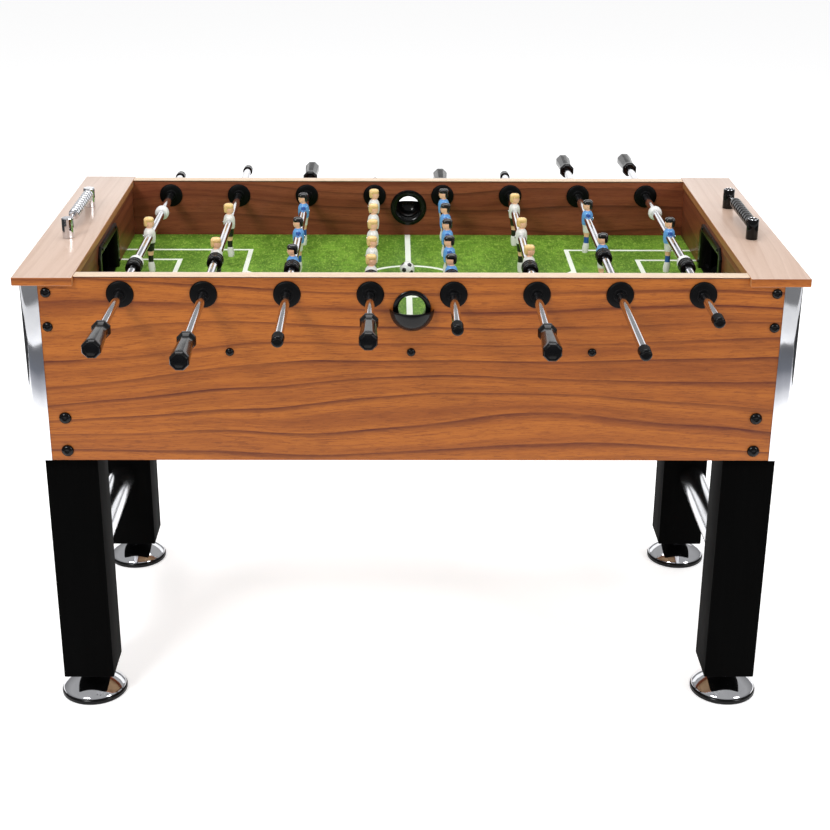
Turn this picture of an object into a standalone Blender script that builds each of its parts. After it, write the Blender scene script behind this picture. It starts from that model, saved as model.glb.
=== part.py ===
"""Foosball table: a wooden cabinet on four legs, eight sliding and spinning player rods.

Metres, +Z up. X runs along the pitch, -Y is the front, and the origin lies on the floor
under the middle of the cabinet.
"""
import math

import bmesh
import bpy
from mathutils import Matrix, Vector

# ---------------------------------------------------------------- driving dimensions
GAP = 0.0003                 # clearance between pieces that touch

TABLE_LENGTH = 1.372         # over the top caps
CAP_OVERHANG_X = 0.011
CABINET_WIDTH = 0.704        # over the front and rear panels
CABINET_HEIGHT = 0.345
TABLE_HEIGHT = 0.865         # floor to the top of the caps
CORNER_RADIUS = 0.008

PANEL_THICKNESS = 0.022      # front and rear panels
END_THICKNESS = 0.012        # outer end panels
GOAL_WALL_THICKNESS = 0.015
GOAL_WALL_HEIGHT = 0.205
CAP_WIDTH = 0.104
CAP_THICKNESS = 0.015
CAP_OVERHANG_Y = 0.011
CAP_OVERHANG_IN = 0.003      # cap lip over the goal wall

FIELD_DEPTH = 0.118          # cap top down to the playing surface
FIELD_THICKNESS = 0.009
BRACE_WIDTH = 0.040
BRACE_HEIGHT = 0.030
BRACE_X = 0.300

ROD_SPACING = 0.1438
ROD_DEPTH = 0.0325           # cap top down to the rod axis
ROD_RADIUS = 0.0079
ROD_CLEARANCE = 0.0004       # rod in its bearings and in its loose bumper
BEARING_FLANGE_RADIUS = 0.024
BEARING_FLANGE_THICKNESS = 0.006

MAN_HEAD_RISE = 0.038        # rod axis up to the crown
MAN_FOOT_DROP = 0.071        # rod axis down to the boot sole
MAN_HALF_WIDTH = 0.012
BUMPER_LENGTH = 0.030
BUMPER_RADIUS = 0.015
COLLAR_RADIUS = 0.014
COLLAR_LENGTH = 0.020
END_CAP_RADIUS = 0.0105
END_CAP_LENGTH = 0.025

HANDLE_LENGTH = 0.105
HANDLE_RADIUS = 0.0165
HANDLE_COLLAR_RADIUS = 0.0165
HANDLE_WAIST_RADIUS = 0.0125
HANDLE_END_WALL = 0.012
HANDLE_SIDES = 8

GOAL_WIDTH = 0.205
GOAL_HEIGHT = 0.092
GOAL_BORDER = 0.014
GOAL_CORNER_CUT = 0.018
GOAL_FLANGE = 0.005
GOAL_SLEEVE_WALL = 0.004
GOAL_SILL_DROP = 0.0005      # goal floor below the playing surface

RETURN_FLOOR = 0.052         # playing surface down to the return's underside
RETURN_WALL = 0.005
RETURN_EASE = 0.0015         # goal mouth to the inside of the return
RETURN_INSET = 0.018         # outlet opening in from the return's sides
RETURN_LIP = 0.020
RETURN_FLANGE = 0.010
RETURN_FLANGE_THICKNESS = 0.003

ENTRY_DEPTH = 0.058          # cap top down to the ball entry axis
ENTRY_BORE = 0.0235
ENTRY_WALL = 0.0035
ENTRY_OUTER_COLLAR = 0.033
ENTRY_INNER_COLLAR = 0.038
ENTRY_COLLAR_THICKNESS = 0.003
SCOOP_RADIUS = 0.039
SCOOP_REACH = 0.032
SCOOP_WALL = 0.003

LEG_WIDTH = 0.095
LEG_RISE = 0.110             # leg top above the cabinet's bottom edge
LEG_CLEARANCE = 0.054        # floor to the leg's underside
LEVELER_RADIUS = 0.063
LEVELER_RIM_HEIGHT = 0.009
LEVELER_STEM_RADIUS = 0.005
LEVELER_STEM_REACH = 0.050
LEVELER_STEM_CLEARANCE = 0.0005
LEVELER_BORE_SPARE = 0.010
TUBE_RADIUS = 0.027
TUBE_INSET = 0.0315          # tube axis in from the leg's outer face
TUBE_HEIGHT = 0.219

GUARD_WIDTH = 0.031
GUARD_THICKNESS = 0.0012

SCORER_SPAN = 0.224          # between the post axes
SCORER_POST_RADIUS = 0.011
SCORER_POST_HEIGHT = 0.038
SCORER_WIRE_RISE = 0.027
SCORER_WIRE_RADIUS = 0.0025
BEAD_COUNT = 10
BEAD_PITCH = 0.015
BEAD_RADIUS = 0.0105
BEAD_GROOVE_RADIUS = 0.0085
BEAD_CLEARANCE = 0.0004

BALL_RADIUS = 0.0175
BALL_X = -0.005
BALL_Y = 0.020

TWO_MEN_SPACING = 0.246
THREE_MEN_SPACING = 0.188
FIVE_MEN_SPACING = 0.118
COLLAR_SPACING = 0.354       # between the two stop collars of a goalkeeper's rod

# men on the rod, facing (+1 towards +X), side the handle is on (-1 front), resting place
# of the middle man, and how far the rod's ends stand out of the front and rear panels
RODS = [
    dict(men=1, facing=1, handle=-1, middle=0.011, out_front=0.284, out_rear=0.158),
    dict(men=2, facing=1, handle=-1, middle=-0.008, out_front=0.337, out_rear=0.218),
    dict(men=3, facing=-1, handle=1, middle=0.012, out_front=0.247, out_rear=0.229),
    dict(men=5, facing=1, handle=-1, middle=-0.002, out_front=0.246, out_rear=0.103),
    dict(men=5, facing=-1, handle=1, middle=0.002, out_front=0.190, out_rear=0.167),
    dict(men=3, facing=1, handle=-1, middle=0.012, out_front=0.295, out_rear=0.168),
    dict(men=2, facing=-1, handle=1, middle=0.026, out_front=0.306, out_rear=0.304),
    dict(men=1, facing=-1, handle=1, middle=0.016, out_front=0.151, out_rear=0.318),
]
MEN_SPACING = {1: 0.0, 2: TWO_MEN_SPACING, 3: THREE_MEN_SPACING, 5: FIVE_MEN_SPACING}

# ---------------------------------------------------------------- derived places
HALF_LENGTH = TABLE_LENGTH / 2 - CAP_OVERHANG_X
HALF_WIDTH = CABINET_WIDTH / 2
ROD_BORE = ROD_RADIUS + ROD_CLEARANCE
ENTRY_SLEEVE = ENTRY_BORE + ENTRY_WALL
LEVELER_BORE_RADIUS = LEVELER_STEM_RADIUS + LEVELER_STEM_CLEARANCE
LEVELER_BORE_DEPTH = LEVELER_STEM_REACH + LEVELER_BORE_SPARE
BEAD_BORE = SCORER_WIRE_RADIUS + BEAD_CLEARANCE
INNER_Y = HALF_WIDTH - PANEL_THICKNESS
BOTTOM = TABLE_HEIGHT - CABINET_HEIGHT
BOARD_TOP = TABLE_HEIGHT - CAP_THICKNESS - GAP
RAIL_TOP = TABLE_HEIGHT - 0.0005
CAP_INNER_X = TABLE_LENGTH / 2 - CAP_WIDTH
GOAL_WALL_X = CAP_INNER_X + CAP_OVERHANG_IN
END_INNER_X = HALF_LENGTH - END_THICKNESS
FIELD_TOP = TABLE_HEIGHT - FIELD_DEPTH
ROD_Z = TABLE_HEIGHT - ROD_DEPTH
ENTRY_Z = TABLE_HEIGHT - ENTRY_DEPTH
LEG_X = END_INNER_X - GAP - LEG_WIDTH / 2
LEG_Y = INNER_Y - GAP - LEG_WIDTH / 2
LEG_TOP = BOTTOM + LEG_RISE
GOAL_MOUTH_HALF = GOAL_WIDTH / 2 - GOAL_BORDER
GOAL_MOUTH_LOW = FIELD_TOP - GOAL_SILL_DROP
GOAL_MOUTH_HIGH = FIELD_TOP + GOAL_HEIGHT - GOAL_BORDER
RETURN_HALF = GOAL_MOUTH_HALF + RETURN_EASE + RETURN_WALL
RETURN_LOW = FIELD_TOP - RETURN_FLOOR
RETURN_HIGH = GOAL_MOUTH_HIGH + RETURN_EASE + RETURN_WALL
SCORER_X = TABLE_LENGTH / 2 - CAP_WIDTH / 2

SIDES = (("left", -1), ("right", 1))
ENDS = (("front", -1), ("rear", 1))


for rod in RODS:
    rod["front"] = -HALF_WIDTH - rod["out_front"]
    rod["rear"] = HALF_WIDTH + rod["out_rear"]


def rod_x(index):
    return (index - (len(RODS) - 1) / 2) * ROD_SPACING


# ---------------------------------------------------------------- scene and helpers
for old in list(bpy.data.objects):
    bpy.data.objects.remove(old, do_unlink=True)

PARTS = bpy.data.collections.new("foosball_table")
CUTTERS = bpy.data.collections.new("cutters")
bpy.context.scene.collection.children.link(PARTS)
bpy.context.scene.collection.children.link(CUTTERS)


def material(name, colour, roughness, metallic=0.0):
    made = bpy.data.materials.new(name)
    made.use_nodes = True
    shader = made.node_tree.nodes["Principled BSDF"]
    shader.inputs["Base Color"].default_value = (*colour, 1.0)
    shader.inputs["Roughness"].default_value = roughness
    shader.inputs["Metallic"].default_value = metallic
    return made


WOOD = material("laminate_wood", (0.48, 0.20, 0.07), 0.35)
DARK_WOOD = material("inner_wood", (0.20, 0.07, 0.03), 0.45)
TOP_WOOD = material("top_laminate", (0.62, 0.42, 0.30), 0.35)
CHROME = material("chrome", (0.80, 0.80, 0.82), 0.08, 1.0)
BLACK_PLASTIC = material("black_plastic", (0.015, 0.015, 0.017), 0.35)
BLACK_BOARD = material("black_laminate", (0.012, 0.012, 0.012), 0.45)
RUBBER = material("rubber", (0.02, 0.02, 0.02), 0.8)
TURF = material("printed_turf", (0.12, 0.33, 0.05), 0.5)
WHITE_PLASTIC = material("white_plastic", (0.85, 0.85, 0.83), 0.3)
GREY_BEAD = material("grey_bead", (0.70, 0.70, 0.72), 0.25)


def add(name, mesh, look, cutter=False):
    """Link a mesh as a named part, or as a hidden cutter."""
    made = bpy.data.objects.new(name, mesh)
    if cutter:
        CUTTERS.objects.link(made)
        made.hide_render = True
        made.display_type = "WIRE"
    else:
        PARTS.objects.link(made)
        mesh.materials.append(look)
    return made


def mesh_from(name, build):
    """Make a mesh by running build on an empty bmesh."""
    bm = bmesh.new()
    build(bm)
    mesh = bpy.data.meshes.new(name)
    bm.to_mesh(mesh)
    bm.free()
    return mesh


def add_box(bm, low, high):
    low, high = Vector(low), Vector(high)
    place = Matrix.Translation((low + high) / 2) @ Matrix.Diagonal((*(high - low), 1.0))
    bmesh.ops.create_cube(bm, size=1.0, matrix=place)


def box(name, low, high, look=None, cutter=False):
    return add(name, mesh_from(name, lambda bm: add_box(bm, low, high)), look, cutter)


def add_cylinder(bm, centre, radius, length, axis, segments):
    """A cylinder about X, Y or Z, centred at a point."""
    turn = {"X": Matrix.Rotation(math.pi / 2, 4, "Y"),
            "Y": Matrix.Rotation(math.pi / 2, 4, "X"),
            "Z": Matrix.Identity(4)}[axis]
    bmesh.ops.create_cone(bm, cap_ends=True, segments=segments, radius1=radius,
                          radius2=radius, depth=length,
                          matrix=Matrix.Translation(centre) @ turn)


def boolean(target, tool, operation):
    step = target.modifiers.new(operation.lower(), "BOOLEAN")
    step.object = tool
    step.operation = operation
    step.solver = "EXACT"


def turned(name, profile, look, segments, cutter=False):
    """A profile of (radius, height) turned about local Z, outer side from top to bottom."""
    mesh = bpy.data.meshes.new(name)
    count = len(profile)
    on_axis = profile[0][0] == 0.0 and profile[-1][0] == 0.0
    edges = [(i, i + 1) for i in range(count - 1)]
    if not on_axis:
        edges.append((count - 1, 0))
    mesh.from_pydata([(r, 0.0, h) for r, h in profile], edges, [])
    made = add(name, mesh, look, cutter)
    screw = made.modifiers.new("turn", "SCREW")
    screw.axis = "Z"
    screw.steps = segments
    screw.render_steps = segments
    screw.use_merge_vertices = True
    screw.merge_threshold = 0.00005
    return made


def flat_solid(name, outline, thickness, look=None, cutter=False):
    """An XY outline given its thickness, centred on local Z = 0."""
    curve = bpy.data.curves.new(name, "CURVE")
    curve.dimensions = "2D"
    curve.fill_mode = "BOTH"
    curve.extrude = thickness / 2
    spline = curve.splines.new("POLY")
    spline.points.add(len(outline) - 1)
    for point, (x, y) in zip(spline.points, outline):
        point.co = (x, y, 0.0, 1.0)
    spline.use_cyclic_u = True
    drawn = bpy.data.objects.new(name + "_outline", curve)
    PARTS.objects.link(drawn)
    bpy.context.view_layer.update()
    mesh = bpy.data.meshes.new_from_object(
        drawn.evaluated_get(bpy.context.evaluated_depsgraph_get()))
    bpy.data.objects.remove(drawn, do_unlink=True)
    bm = bmesh.new()
    bm.from_mesh(mesh)
    bmesh.ops.remove_doubles(bm, verts=bm.verts, dist=0.00002)
    bmesh.ops.recalc_face_normals(bm, faces=bm.faces)
    bm.to_mesh(mesh)
    bm.free()
    mesh.materials.clear()
    return add(name, mesh, look, cutter)


def arc(centre, radius, start, end, steps):
    """Points on an arc, in degrees."""
    angles = [math.radians(start + (end - start) * i / steps) for i in range(steps + 1)]
    return [(centre[0] + radius * math.cos(a), centre[1] + radius * math.sin(a))
            for a in angles]


# ---------------------------------------------------------------- cabinet boards
def panel_cutters(name, end):
    """The rail notches under the caps, the rod bores with their bearings, the entry hole."""
    reach = 2 * PANEL_THICKNESS
    y = end * (HALF_WIDTH - PANEL_THICKNESS / 2)

    def notches(bm):
        for _, side in SIDES:
            x = sorted((side * (CAP_INNER_X - GAP), side * (HALF_LENGTH + 0.05)))
            add_box(bm, (x[0], y - reach, BOARD_TOP), (x[1], y + reach, TABLE_HEIGHT + 0.05))

    def bores(bm):
        for index in range(len(RODS)):
            add_cylinder(bm, (rod_x(index), y, ROD_Z), ROD_BORE, reach, "Y", 12)
        add_cylinder(bm, (0, y, ENTRY_Z), ENTRY_SLEEVE + GAP, reach, "Y", 24)

    def flanges(bm):
        length = PANEL_THICKNESS + 2 * BEARING_FLANGE_THICKNESS
        for index in range(len(RODS)):
            add_cylinder(bm, (rod_x(index), y, ROD_Z), BEARING_FLANGE_RADIUS, length, "Y", 16)

    return [add(name + label, mesh_from(name + label, build), None, True)
            for label, build in (("_notches", notches), ("_bearings", flanges),
                                 ("_bores", bores))]


def long_panel(name, end):
    """A front or rear panel with rounded outer corners and its rod bearings."""
    edge, radius = HALF_WIDTH, CORNER_RADIUS
    outline = [(-HALF_LENGTH, INNER_Y)]
    outline += arc((-HALF_LENGTH + radius, edge - radius), radius, 180, 90, 4)
    outline += arc((HALF_LENGTH - radius, edge - radius), radius, 90, 0, 4)
    outline += [(HALF_LENGTH, INNER_Y)]
    panel = flat_solid(name, [(x, end * y) for x, y in outline], RAIL_TOP - BOTTOM, WOOD)
    panel.location.z = (RAIL_TOP + BOTTOM) / 2
    return panel


def build_cabinet():
    for name, end in ENDS:
        notches, flanges, bores = panel_cutters(name, end)
        panel = long_panel(name + "_panel", end)
        boolean(panel, notches, "DIFFERENCE")
        boolean(panel, flanges, "UNION")
        boolean(panel, bores, "DIFFERENCE")

    def goal_holes(bm):
        around = GOAL_SLEEVE_WALL + GAP
        low, high = GOAL_MOUTH_LOW - around, GOAL_MOUTH_HIGH + around
        half = GOAL_MOUTH_HALF + around
        for _, side in SIDES:
            x = side * (GOAL_WALL_X + GOAL_WALL_THICKNESS / 2)
            add_box(bm, (x - GOAL_WALL_THICKNESS, -half, low),
                    (x + GOAL_WALL_THICKNESS, half, high))

    def return_holes(bm):
        half = RETURN_HALF + GAP
        for _, side in SIDES:
            x = side * (HALF_LENGTH - END_THICKNESS / 2)
            add_box(bm, (x - END_THICKNESS, -half, RETURN_LOW - GAP),
                    (x + END_THICKNESS, half, RETURN_HIGH + GAP))

    goal_cut = add("goal_holes", mesh_from("goal_holes", goal_holes), None, True)
    return_cut = add("return_holes", mesh_from("return_holes", return_holes), None, True)
    for name, side in SIDES:
        x = sorted((side * GOAL_WALL_X, side * (GOAL_WALL_X + GOAL_WALL_THICKNESS)))
        wall = box(name + "_goal_wall",
                   (x[0], -INNER_Y + GAP, BOARD_TOP - GOAL_WALL_HEIGHT),
                   (x[1], INNER_Y - GAP, BOARD_TOP), DARK_WOOD)
        boolean(wall, goal_cut, "DIFFERENCE")
        x = sorted((side * END_INNER_X, side * HALF_LENGTH))
        end = box(name + "_end_panel", (x[0], -INNER_Y + GAP, BOTTOM),
                  (x[1], INNER_Y - GAP, BOARD_TOP), WOOD)
        boolean(end, return_cut, "DIFFERENCE")
        x = sorted((side * CAP_INNER_X, side * TABLE_LENGTH / 2))
        reach = HALF_WIDTH + CAP_OVERHANG_Y
        box(name + "_top_cap", (x[0], -reach, TABLE_HEIGHT - CAP_THICKNESS),
            (x[1], reach, TABLE_HEIGHT), TOP_WOOD)
        x = side * BRACE_X
        top = FIELD_TOP - FIELD_THICKNESS - GAP
        box(name + "_field_brace", (x - BRACE_WIDTH / 2, -INNER_Y + GAP, top - BRACE_HEIGHT),
            (x + BRACE_WIDTH / 2, INNER_Y - GAP, top), DARK_WOOD)
    reach_x, reach_y = GOAL_WALL_X - GAP, INNER_Y - GAP
    box("playing_field", (-reach_x, -reach_y, FIELD_TOP - FIELD_THICKNESS),
        (reach_x, reach_y, FIELD_TOP), TURF)


# ---------------------------------------------------------------- corner guards
def build_guards():
    """Chrome angles round the four upright corners of the cabinet."""
    near = CORNER_RADIUS + GAP
    far = near + GUARD_THICKNESS
    reach = GUARD_WIDTH
    height = BOARD_TOP - BOTTOM
    for end_name, end in ENDS:
        for side_name, side in SIDES:
            centre = (HALF_LENGTH - CORNER_RADIUS, HALF_WIDTH - CORNER_RADIUS)
            outline = [(centre[0] + CORNER_RADIUS - reach, centre[1] + near)]
            outline += [(centre[0] + CORNER_RADIUS - reach, centre[1] + far)]
            outline += arc(centre, far, 90, 0, 6)
            outline += [(centre[0] + far, centre[1] + CORNER_RADIUS - reach)]
            outline += [(centre[0] + near, centre[1] + CORNER_RADIUS - reach)]
            outline += arc(centre, near, 0, 90, 6)
            placed = [(side * x, end * y) for x, y in outline]
            guard = flat_solid(end_name + "_" + side_name + "_corner_guard", placed,
                               height, CHROME)
            guard.location.z = (BOARD_TOP + BOTTOM) / 2


# ---------------------------------------------------------------- goals and ball returns
def goal_outline(half, low, high, cut):
    """An upright opening with its two upper corners cut off."""
    return [(-half, low), (half, low), (half, high - cut), (half - cut, high),
            (-half + cut, high), (-half, high - cut)]


def upright(made, x):
    """Stand an XY outline up so that its X becomes world Y and its Y world Z."""
    made.rotation_euler = (math.pi / 2, 0.0, math.pi / 2)
    made.location.x = x


def side_box(name, side, near, far, half, low, high, look=None):
    """A box between two distances from the table's middle, on its left or right."""
    x = sorted((side * near, side * far))
    return box(name, (x[0], -half, low), (x[1], half, high), look, cutter=look is None)


def build_goals():
    half = GOAL_MOUTH_HALF
    for name, side in SIDES:
        face = GOAL_WALL_X - GAP
        outline = goal_outline(GOAL_WIDTH / 2, FIELD_TOP + GAP, FIELD_TOP + GOAL_HEIGHT,
                               GOAL_CORNER_CUT)
        flange = flat_solid(name + "_goal", outline, GOAL_FLANGE, BLACK_PLASTIC)
        upright(flange, side * (face - GOAL_FLANGE / 2))
        wall = GOAL_SLEEVE_WALL
        start, back = face - GOAL_FLANGE / 2, GOAL_WALL_X + GOAL_WALL_THICKNESS
        sleeve = side_box(name + "_goal_sleeve", side, start, back, half + wall,
                          FIELD_TOP + GAP, GOAL_MOUTH_HIGH + wall)
        floor = side_box(name + "_goal_floor", side, GOAL_WALL_X, back, half + wall,
                         GOAL_MOUTH_LOW - wall, FIELD_TOP + wall)
        mouth = side_box(name + "_goal_mouth", side, start - GOAL_FLANGE, back + GOAL_FLANGE,
                         half, GOAL_MOUTH_LOW, GOAL_MOUTH_HIGH)
        boolean(flange, sleeve, "UNION")
        boolean(flange, floor, "UNION")
        boolean(flange, mouth, "DIFFERENCE")


def build_returns():
    """Black trays behind the goals, reached through the end panels."""
    wall, rim, thick = RETURN_WALL, RETURN_FLANGE, RETURN_FLANGE_THICKNESS
    half, low, high = RETURN_HALF, RETURN_LOW, RETURN_HIGH
    inner = GOAL_WALL_X + GOAL_WALL_THICKNESS + GAP
    outer = HALF_LENGTH + GAP
    for name, side in SIDES:
        tray = side_box(name + "_ball_return", side, inner, outer + thick / 2, half,
                        low, high, BLACK_PLASTIC)
        flange = side_box(name + "_return_flange", side, outer, outer + thick,
                          half + rim, low - rim, high + rim)
        hollow = side_box(name + "_return_hollow", side, inner + wall, outer - thick,
                          half - wall, low + wall, high - wall)
        inlet = side_box(name + "_return_inlet", side, inner - wall, inner + 2 * wall,
                         GOAL_MOUTH_HALF, GOAL_MOUTH_LOW, GOAL_MOUTH_HIGH)
        outlet = side_box(name + "_return_outlet", side, outer - 2 * thick,
                          outer + 2 * thick, half - RETURN_INSET, low + RETURN_LIP,
                          high - RETURN_INSET)
        boolean(tray, flange, "UNION")
        boolean(tray, hollow, "DIFFERENCE")
        boolean(tray, inlet, "DIFFERENCE")
        boolean(tray, outlet, "DIFFERENCE")


# ---------------------------------------------------------------- ball entries
def build_entries():
    """A lined hole in each long panel with a half bowl outside it to drop the ball in."""
    through = PANEL_THICKNESS + 2 * GAP
    collar = ENTRY_COLLAR_THICKNESS
    profile = [(ENTRY_BORE, through + collar), (ENTRY_INNER_COLLAR, through + collar),
               (ENTRY_INNER_COLLAR, through), (ENTRY_SLEEVE, through),
               (ENTRY_SLEEVE, 0.0), (ENTRY_OUTER_COLLAR, 0.0),
               (ENTRY_OUTER_COLLAR, -collar), (ENTRY_BORE, -collar)]
    for name, end in ENDS:
        face = end * (HALF_WIDTH + GAP)
        entry = turned(name + "_ball_entry", profile, BLACK_PLASTIC, 24)
        entry.location = (0.0, face, ENTRY_Z)
        entry.rotation_euler = (end * math.pi / 2, 0.0, 0.0)

        def shell(bm, shrink, end=end, face=face):
            size = (SCOOP_RADIUS - shrink, SCOOP_REACH - shrink, SCOOP_RADIUS - shrink)
            bmesh.ops.create_uvsphere(
                bm, u_segments=20, v_segments=12, radius=1.0,
                matrix=Matrix.Translation((0, face, ENTRY_Z)) @ Matrix.Diagonal((*size, 1)))

        bowl = add(name + "_scoop", mesh_from(name + "_scoop", lambda bm: shell(bm, 0.0)),
                   None, True)
        inside = add(name + "_scoop_inside",
                     mesh_from(name + "_scoop_inside", lambda bm: shell(bm, SCOOP_WALL)),
                     None, True)
        wide = 2 * SCOOP_RADIUS
        above = box(name + "_scoop_above", (-wide, face - wide, ENTRY_Z + 0.0001),
                    (wide, face + wide, ENTRY_Z + wide), cutter=True)
        y = sorted((face, face - end * wide))
        behind = box(name + "_scoop_behind", (-wide, y[0], ENTRY_Z - wide),
                     (wide, y[1], ENTRY_Z + wide), cutter=True)
        def plate(bm, end=end, face=face):
            add_cylinder(bm, (0, face + end * collar / 2, ENTRY_Z),
                         SCOOP_RADIUS - SCOOP_WALL / 2, collar, "Y", 24)

        def bore(bm, face=face):
            add_cylinder(bm, (0, face, ENTRY_Z), ENTRY_BORE, wide, "Y", 24)

        backing = add(name + "_scoop_plate", mesh_from(name + "_scoop_plate", plate),
                      None, True)
        opening = add(name + "_scoop_bore", mesh_from(name + "_scoop_bore", bore),
                      None, True)
        boolean(bowl, inside, "DIFFERENCE")
        boolean(bowl, backing, "UNION")
        boolean(bowl, above, "DIFFERENCE")
        boolean(bowl, behind, "DIFFERENCE")
        boolean(bowl, opening, "DIFFERENCE")
        boolean(entry, bowl, "UNION")


# ---------------------------------------------------------------- legs, feet and leg tubes
def leveler_profile():
    """A broad foot: rubber rim, chrome dish, hub and threaded stem."""
    rim, height = LEVELER_RADIUS, LEVELER_RIM_HEIGHT
    hub_top = LEG_CLEARANCE - GAP
    stem = LEVELER_STEM_RADIUS
    top = hub_top + LEVELER_STEM_REACH
    return [(0.0, top), (stem, top), (stem, hub_top), (0.020, hub_top),
            (0.022, 0.034), (0.042, 0.019), (rim - 0.003, height + 0.002),
            (rim, height), (rim, 0.0), (0.0, 0.0)]


def build_legs():
    for end_name, end in ENDS:
        for side_name, side in SIDES:
            place = end_name + "_" + side_name
            x, y, half = side * LEG_X, end * LEG_Y, LEG_WIDTH / 2
            leg = box(place + "_leg", (x - half, y - half, LEG_CLEARANCE),
                      (x + half, y + half, LEG_TOP), BLACK_BOARD)

            def bore(bm, x=x, y=y):
                add_cylinder(bm, (x, y, LEG_CLEARANCE), LEVELER_BORE_RADIUS,
                             2 * LEVELER_BORE_DEPTH, "Z", 12)

            boolean(leg, add(place + "_stem_bore", mesh_from(place + "_stem_bore", bore),
                             None, True), "DIFFERENCE")
            foot = turned(place + "_leveler", leveler_profile(), CHROME, 20)
            foot.location = (x, y, 0.0)
    for name, side in SIDES:
        half = LEG_Y - LEG_WIDTH / 2 - GAP
        x = side * (END_INNER_X - GAP - TUBE_INSET)

        def tube(bm, x=x, half=half):
            add_cylinder(bm, (x, 0.0, TUBE_HEIGHT), TUBE_RADIUS, 2 * half, "Y", 20)

        add(name + "_leg_tube", mesh_from(name + "_leg_tube", tube), CHROME)


# ---------------------------------------------------------------- scorers
def build_scorers():
    for name, side in SIDES:
        x = side * SCORER_X
        half = SCORER_SPAN / 2
        base = TABLE_HEIGHT + GAP
        wire_z = TABLE_HEIGHT + SCORER_WIRE_RISE

        def post(bm, y, x=x, base=base):
            add_cylinder(bm, (x, y, base + SCORER_POST_HEIGHT / 2), SCORER_POST_RADIUS,
                         SCORER_POST_HEIGHT, "Z", 16)

        def wire(bm, x=x, half=half, wire_z=wire_z):
            add_cylinder(bm, (x, 0, wire_z), SCORER_WIRE_RADIUS, 2 * half, "Y", 8)

        look = CHROME if side < 0 else BLACK_PLASTIC
        rail = add(name + "_scorer_rail",
                   mesh_from(name + "_scorer_rail", lambda bm: post(bm, -half)), look)
        back = add(name + "_scorer_back",
                   mesh_from(name + "_scorer_back", lambda bm: post(bm, half)), None, True)
        bar = add(name + "_scorer_wire", mesh_from(name + "_scorer_wire", wire), None, True)
        boolean(rail, back, "UNION")
        boolean(rail, bar, "UNION")

        length = BEAD_COUNT * BEAD_PITCH
        profile = [(BEAD_BORE, length)]
        for bead in range(BEAD_COUNT, 0, -1):
            top = bead * BEAD_PITCH
            profile += [(BEAD_GROOVE_RADIUS, top), (BEAD_RADIUS, top - 0.003),
                        (BEAD_RADIUS, top - BEAD_PITCH + 0.003)]
        profile += [(BEAD_GROOVE_RADIUS, 0.0), (BEAD_BORE, 0.0)]
        beads = turned(name + "_scorer_beads", profile, GREY_BEAD if side < 0
                       else BLACK_PLASTIC, 10)
        beads.rotation_euler = (-math.pi / 2, 0.0, 0.0)
        parked = half - SCORER_POST_RADIUS - GAP
        start = parked - length if side < 0 else -parked
        beads.location = (x, start, wire_z)


# ---------------------------------------------------------------- player rods
MAN_SECTIONS = [
    # height from the rod axis, back, front, half width
    (-0.0565, -0.0058, 0.0066, 0.0065), (-0.0520, -0.0045, 0.0045, 0.0055),
    (-0.0360, -0.0055, 0.0050, 0.0065), (-0.0240, -0.0080, 0.0070, 0.0085),
    (-0.0100, -0.0110, 0.0105, 0.0115), (0.0090, -0.0115, 0.0110, MAN_HALF_WIDTH),
    (0.0155, -0.0080, 0.0070, 0.0100), (0.0175, -0.0050, 0.0045, 0.0050),
    (0.0195, -0.0080, 0.0080, 0.0075), (0.0340, -0.0085, 0.0090, 0.0080),
]


def man_mesh(name, facing):
    """A moulded player: a cube for the boot, its top face drawn up section by section."""
    def build(bm):
        add_box(bm, (-0.0064, -0.0065, -MAN_FOOT_DROP), (0.0088, 0.0065, -0.0640))
        top = max(bm.faces, key=lambda face: face.calc_center_median().z)
        sections = MAN_SECTIONS + [(MAN_HEAD_RISE, -0.0055, 0.0060, 0.0055)]
        for height, back, front, half in sections:
            result = bmesh.ops.extrude_face_region(bm, geom=[top])
            fresh = [item for item in result["geom"] if isinstance(item, bmesh.types.BMVert)]
            middle = sum((vert.co for vert in fresh), Vector()) / len(fresh)
            for vert in fresh:
                vert.co.x = front if vert.co.x > middle.x else back
                vert.co.y = half if vert.co.y > 0.0 else -half
                vert.co.z = height
            bmesh.ops.delete(bm, geom=[top], context="FACES_ONLY")
            top = next(item for item in result["geom"]
                       if isinstance(item, bmesh.types.BMFace))
        if facing < 0:
            bmesh.ops.rotate(bm, verts=bm.verts, cent=(0, 0, 0),
                             matrix=Matrix.Rotation(math.pi, 3, "Z"))
        bmesh.ops.recalc_face_normals(bm, faces=bm.faces)
    return mesh_from(name, build)


def men_places(rod):
    spacing = MEN_SPACING[rod["men"]]
    count = rod["men"]
    return [rod["middle"] + (i - (count - 1) / 2) * spacing for i in range(count)]


def bumper_reach(rod):
    """From the middle man to the face that the bumper lies against."""
    if rod["men"] == 1:
        return COLLAR_SPACING / 2 + COLLAR_LENGTH / 2
    return MEN_SPACING[rod["men"]] * (rod["men"] - 1) / 2 + MAN_HALF_WIDTH


def rod_fittings(rod):
    """What is fixed on a rod, from rear to front, as (rear end, front end, radius)."""
    middle = rod["middle"]
    fittings = []
    if rod["men"] == 1:
        for side in (1, -1):
            centre = middle + side * COLLAR_SPACING / 2
            fittings.append((centre + COLLAR_LENGTH / 2, centre - COLLAR_LENGTH / 2,
                             COLLAR_RADIUS))
    if rod["handle"] < 0:
        rear = rod["rear"]
        return [(rear, rear - END_CAP_LENGTH, END_CAP_RADIUS)] + fittings
    front = rod["front"]
    return fittings + [(front + END_CAP_LENGTH, front, END_CAP_RADIUS)]


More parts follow.
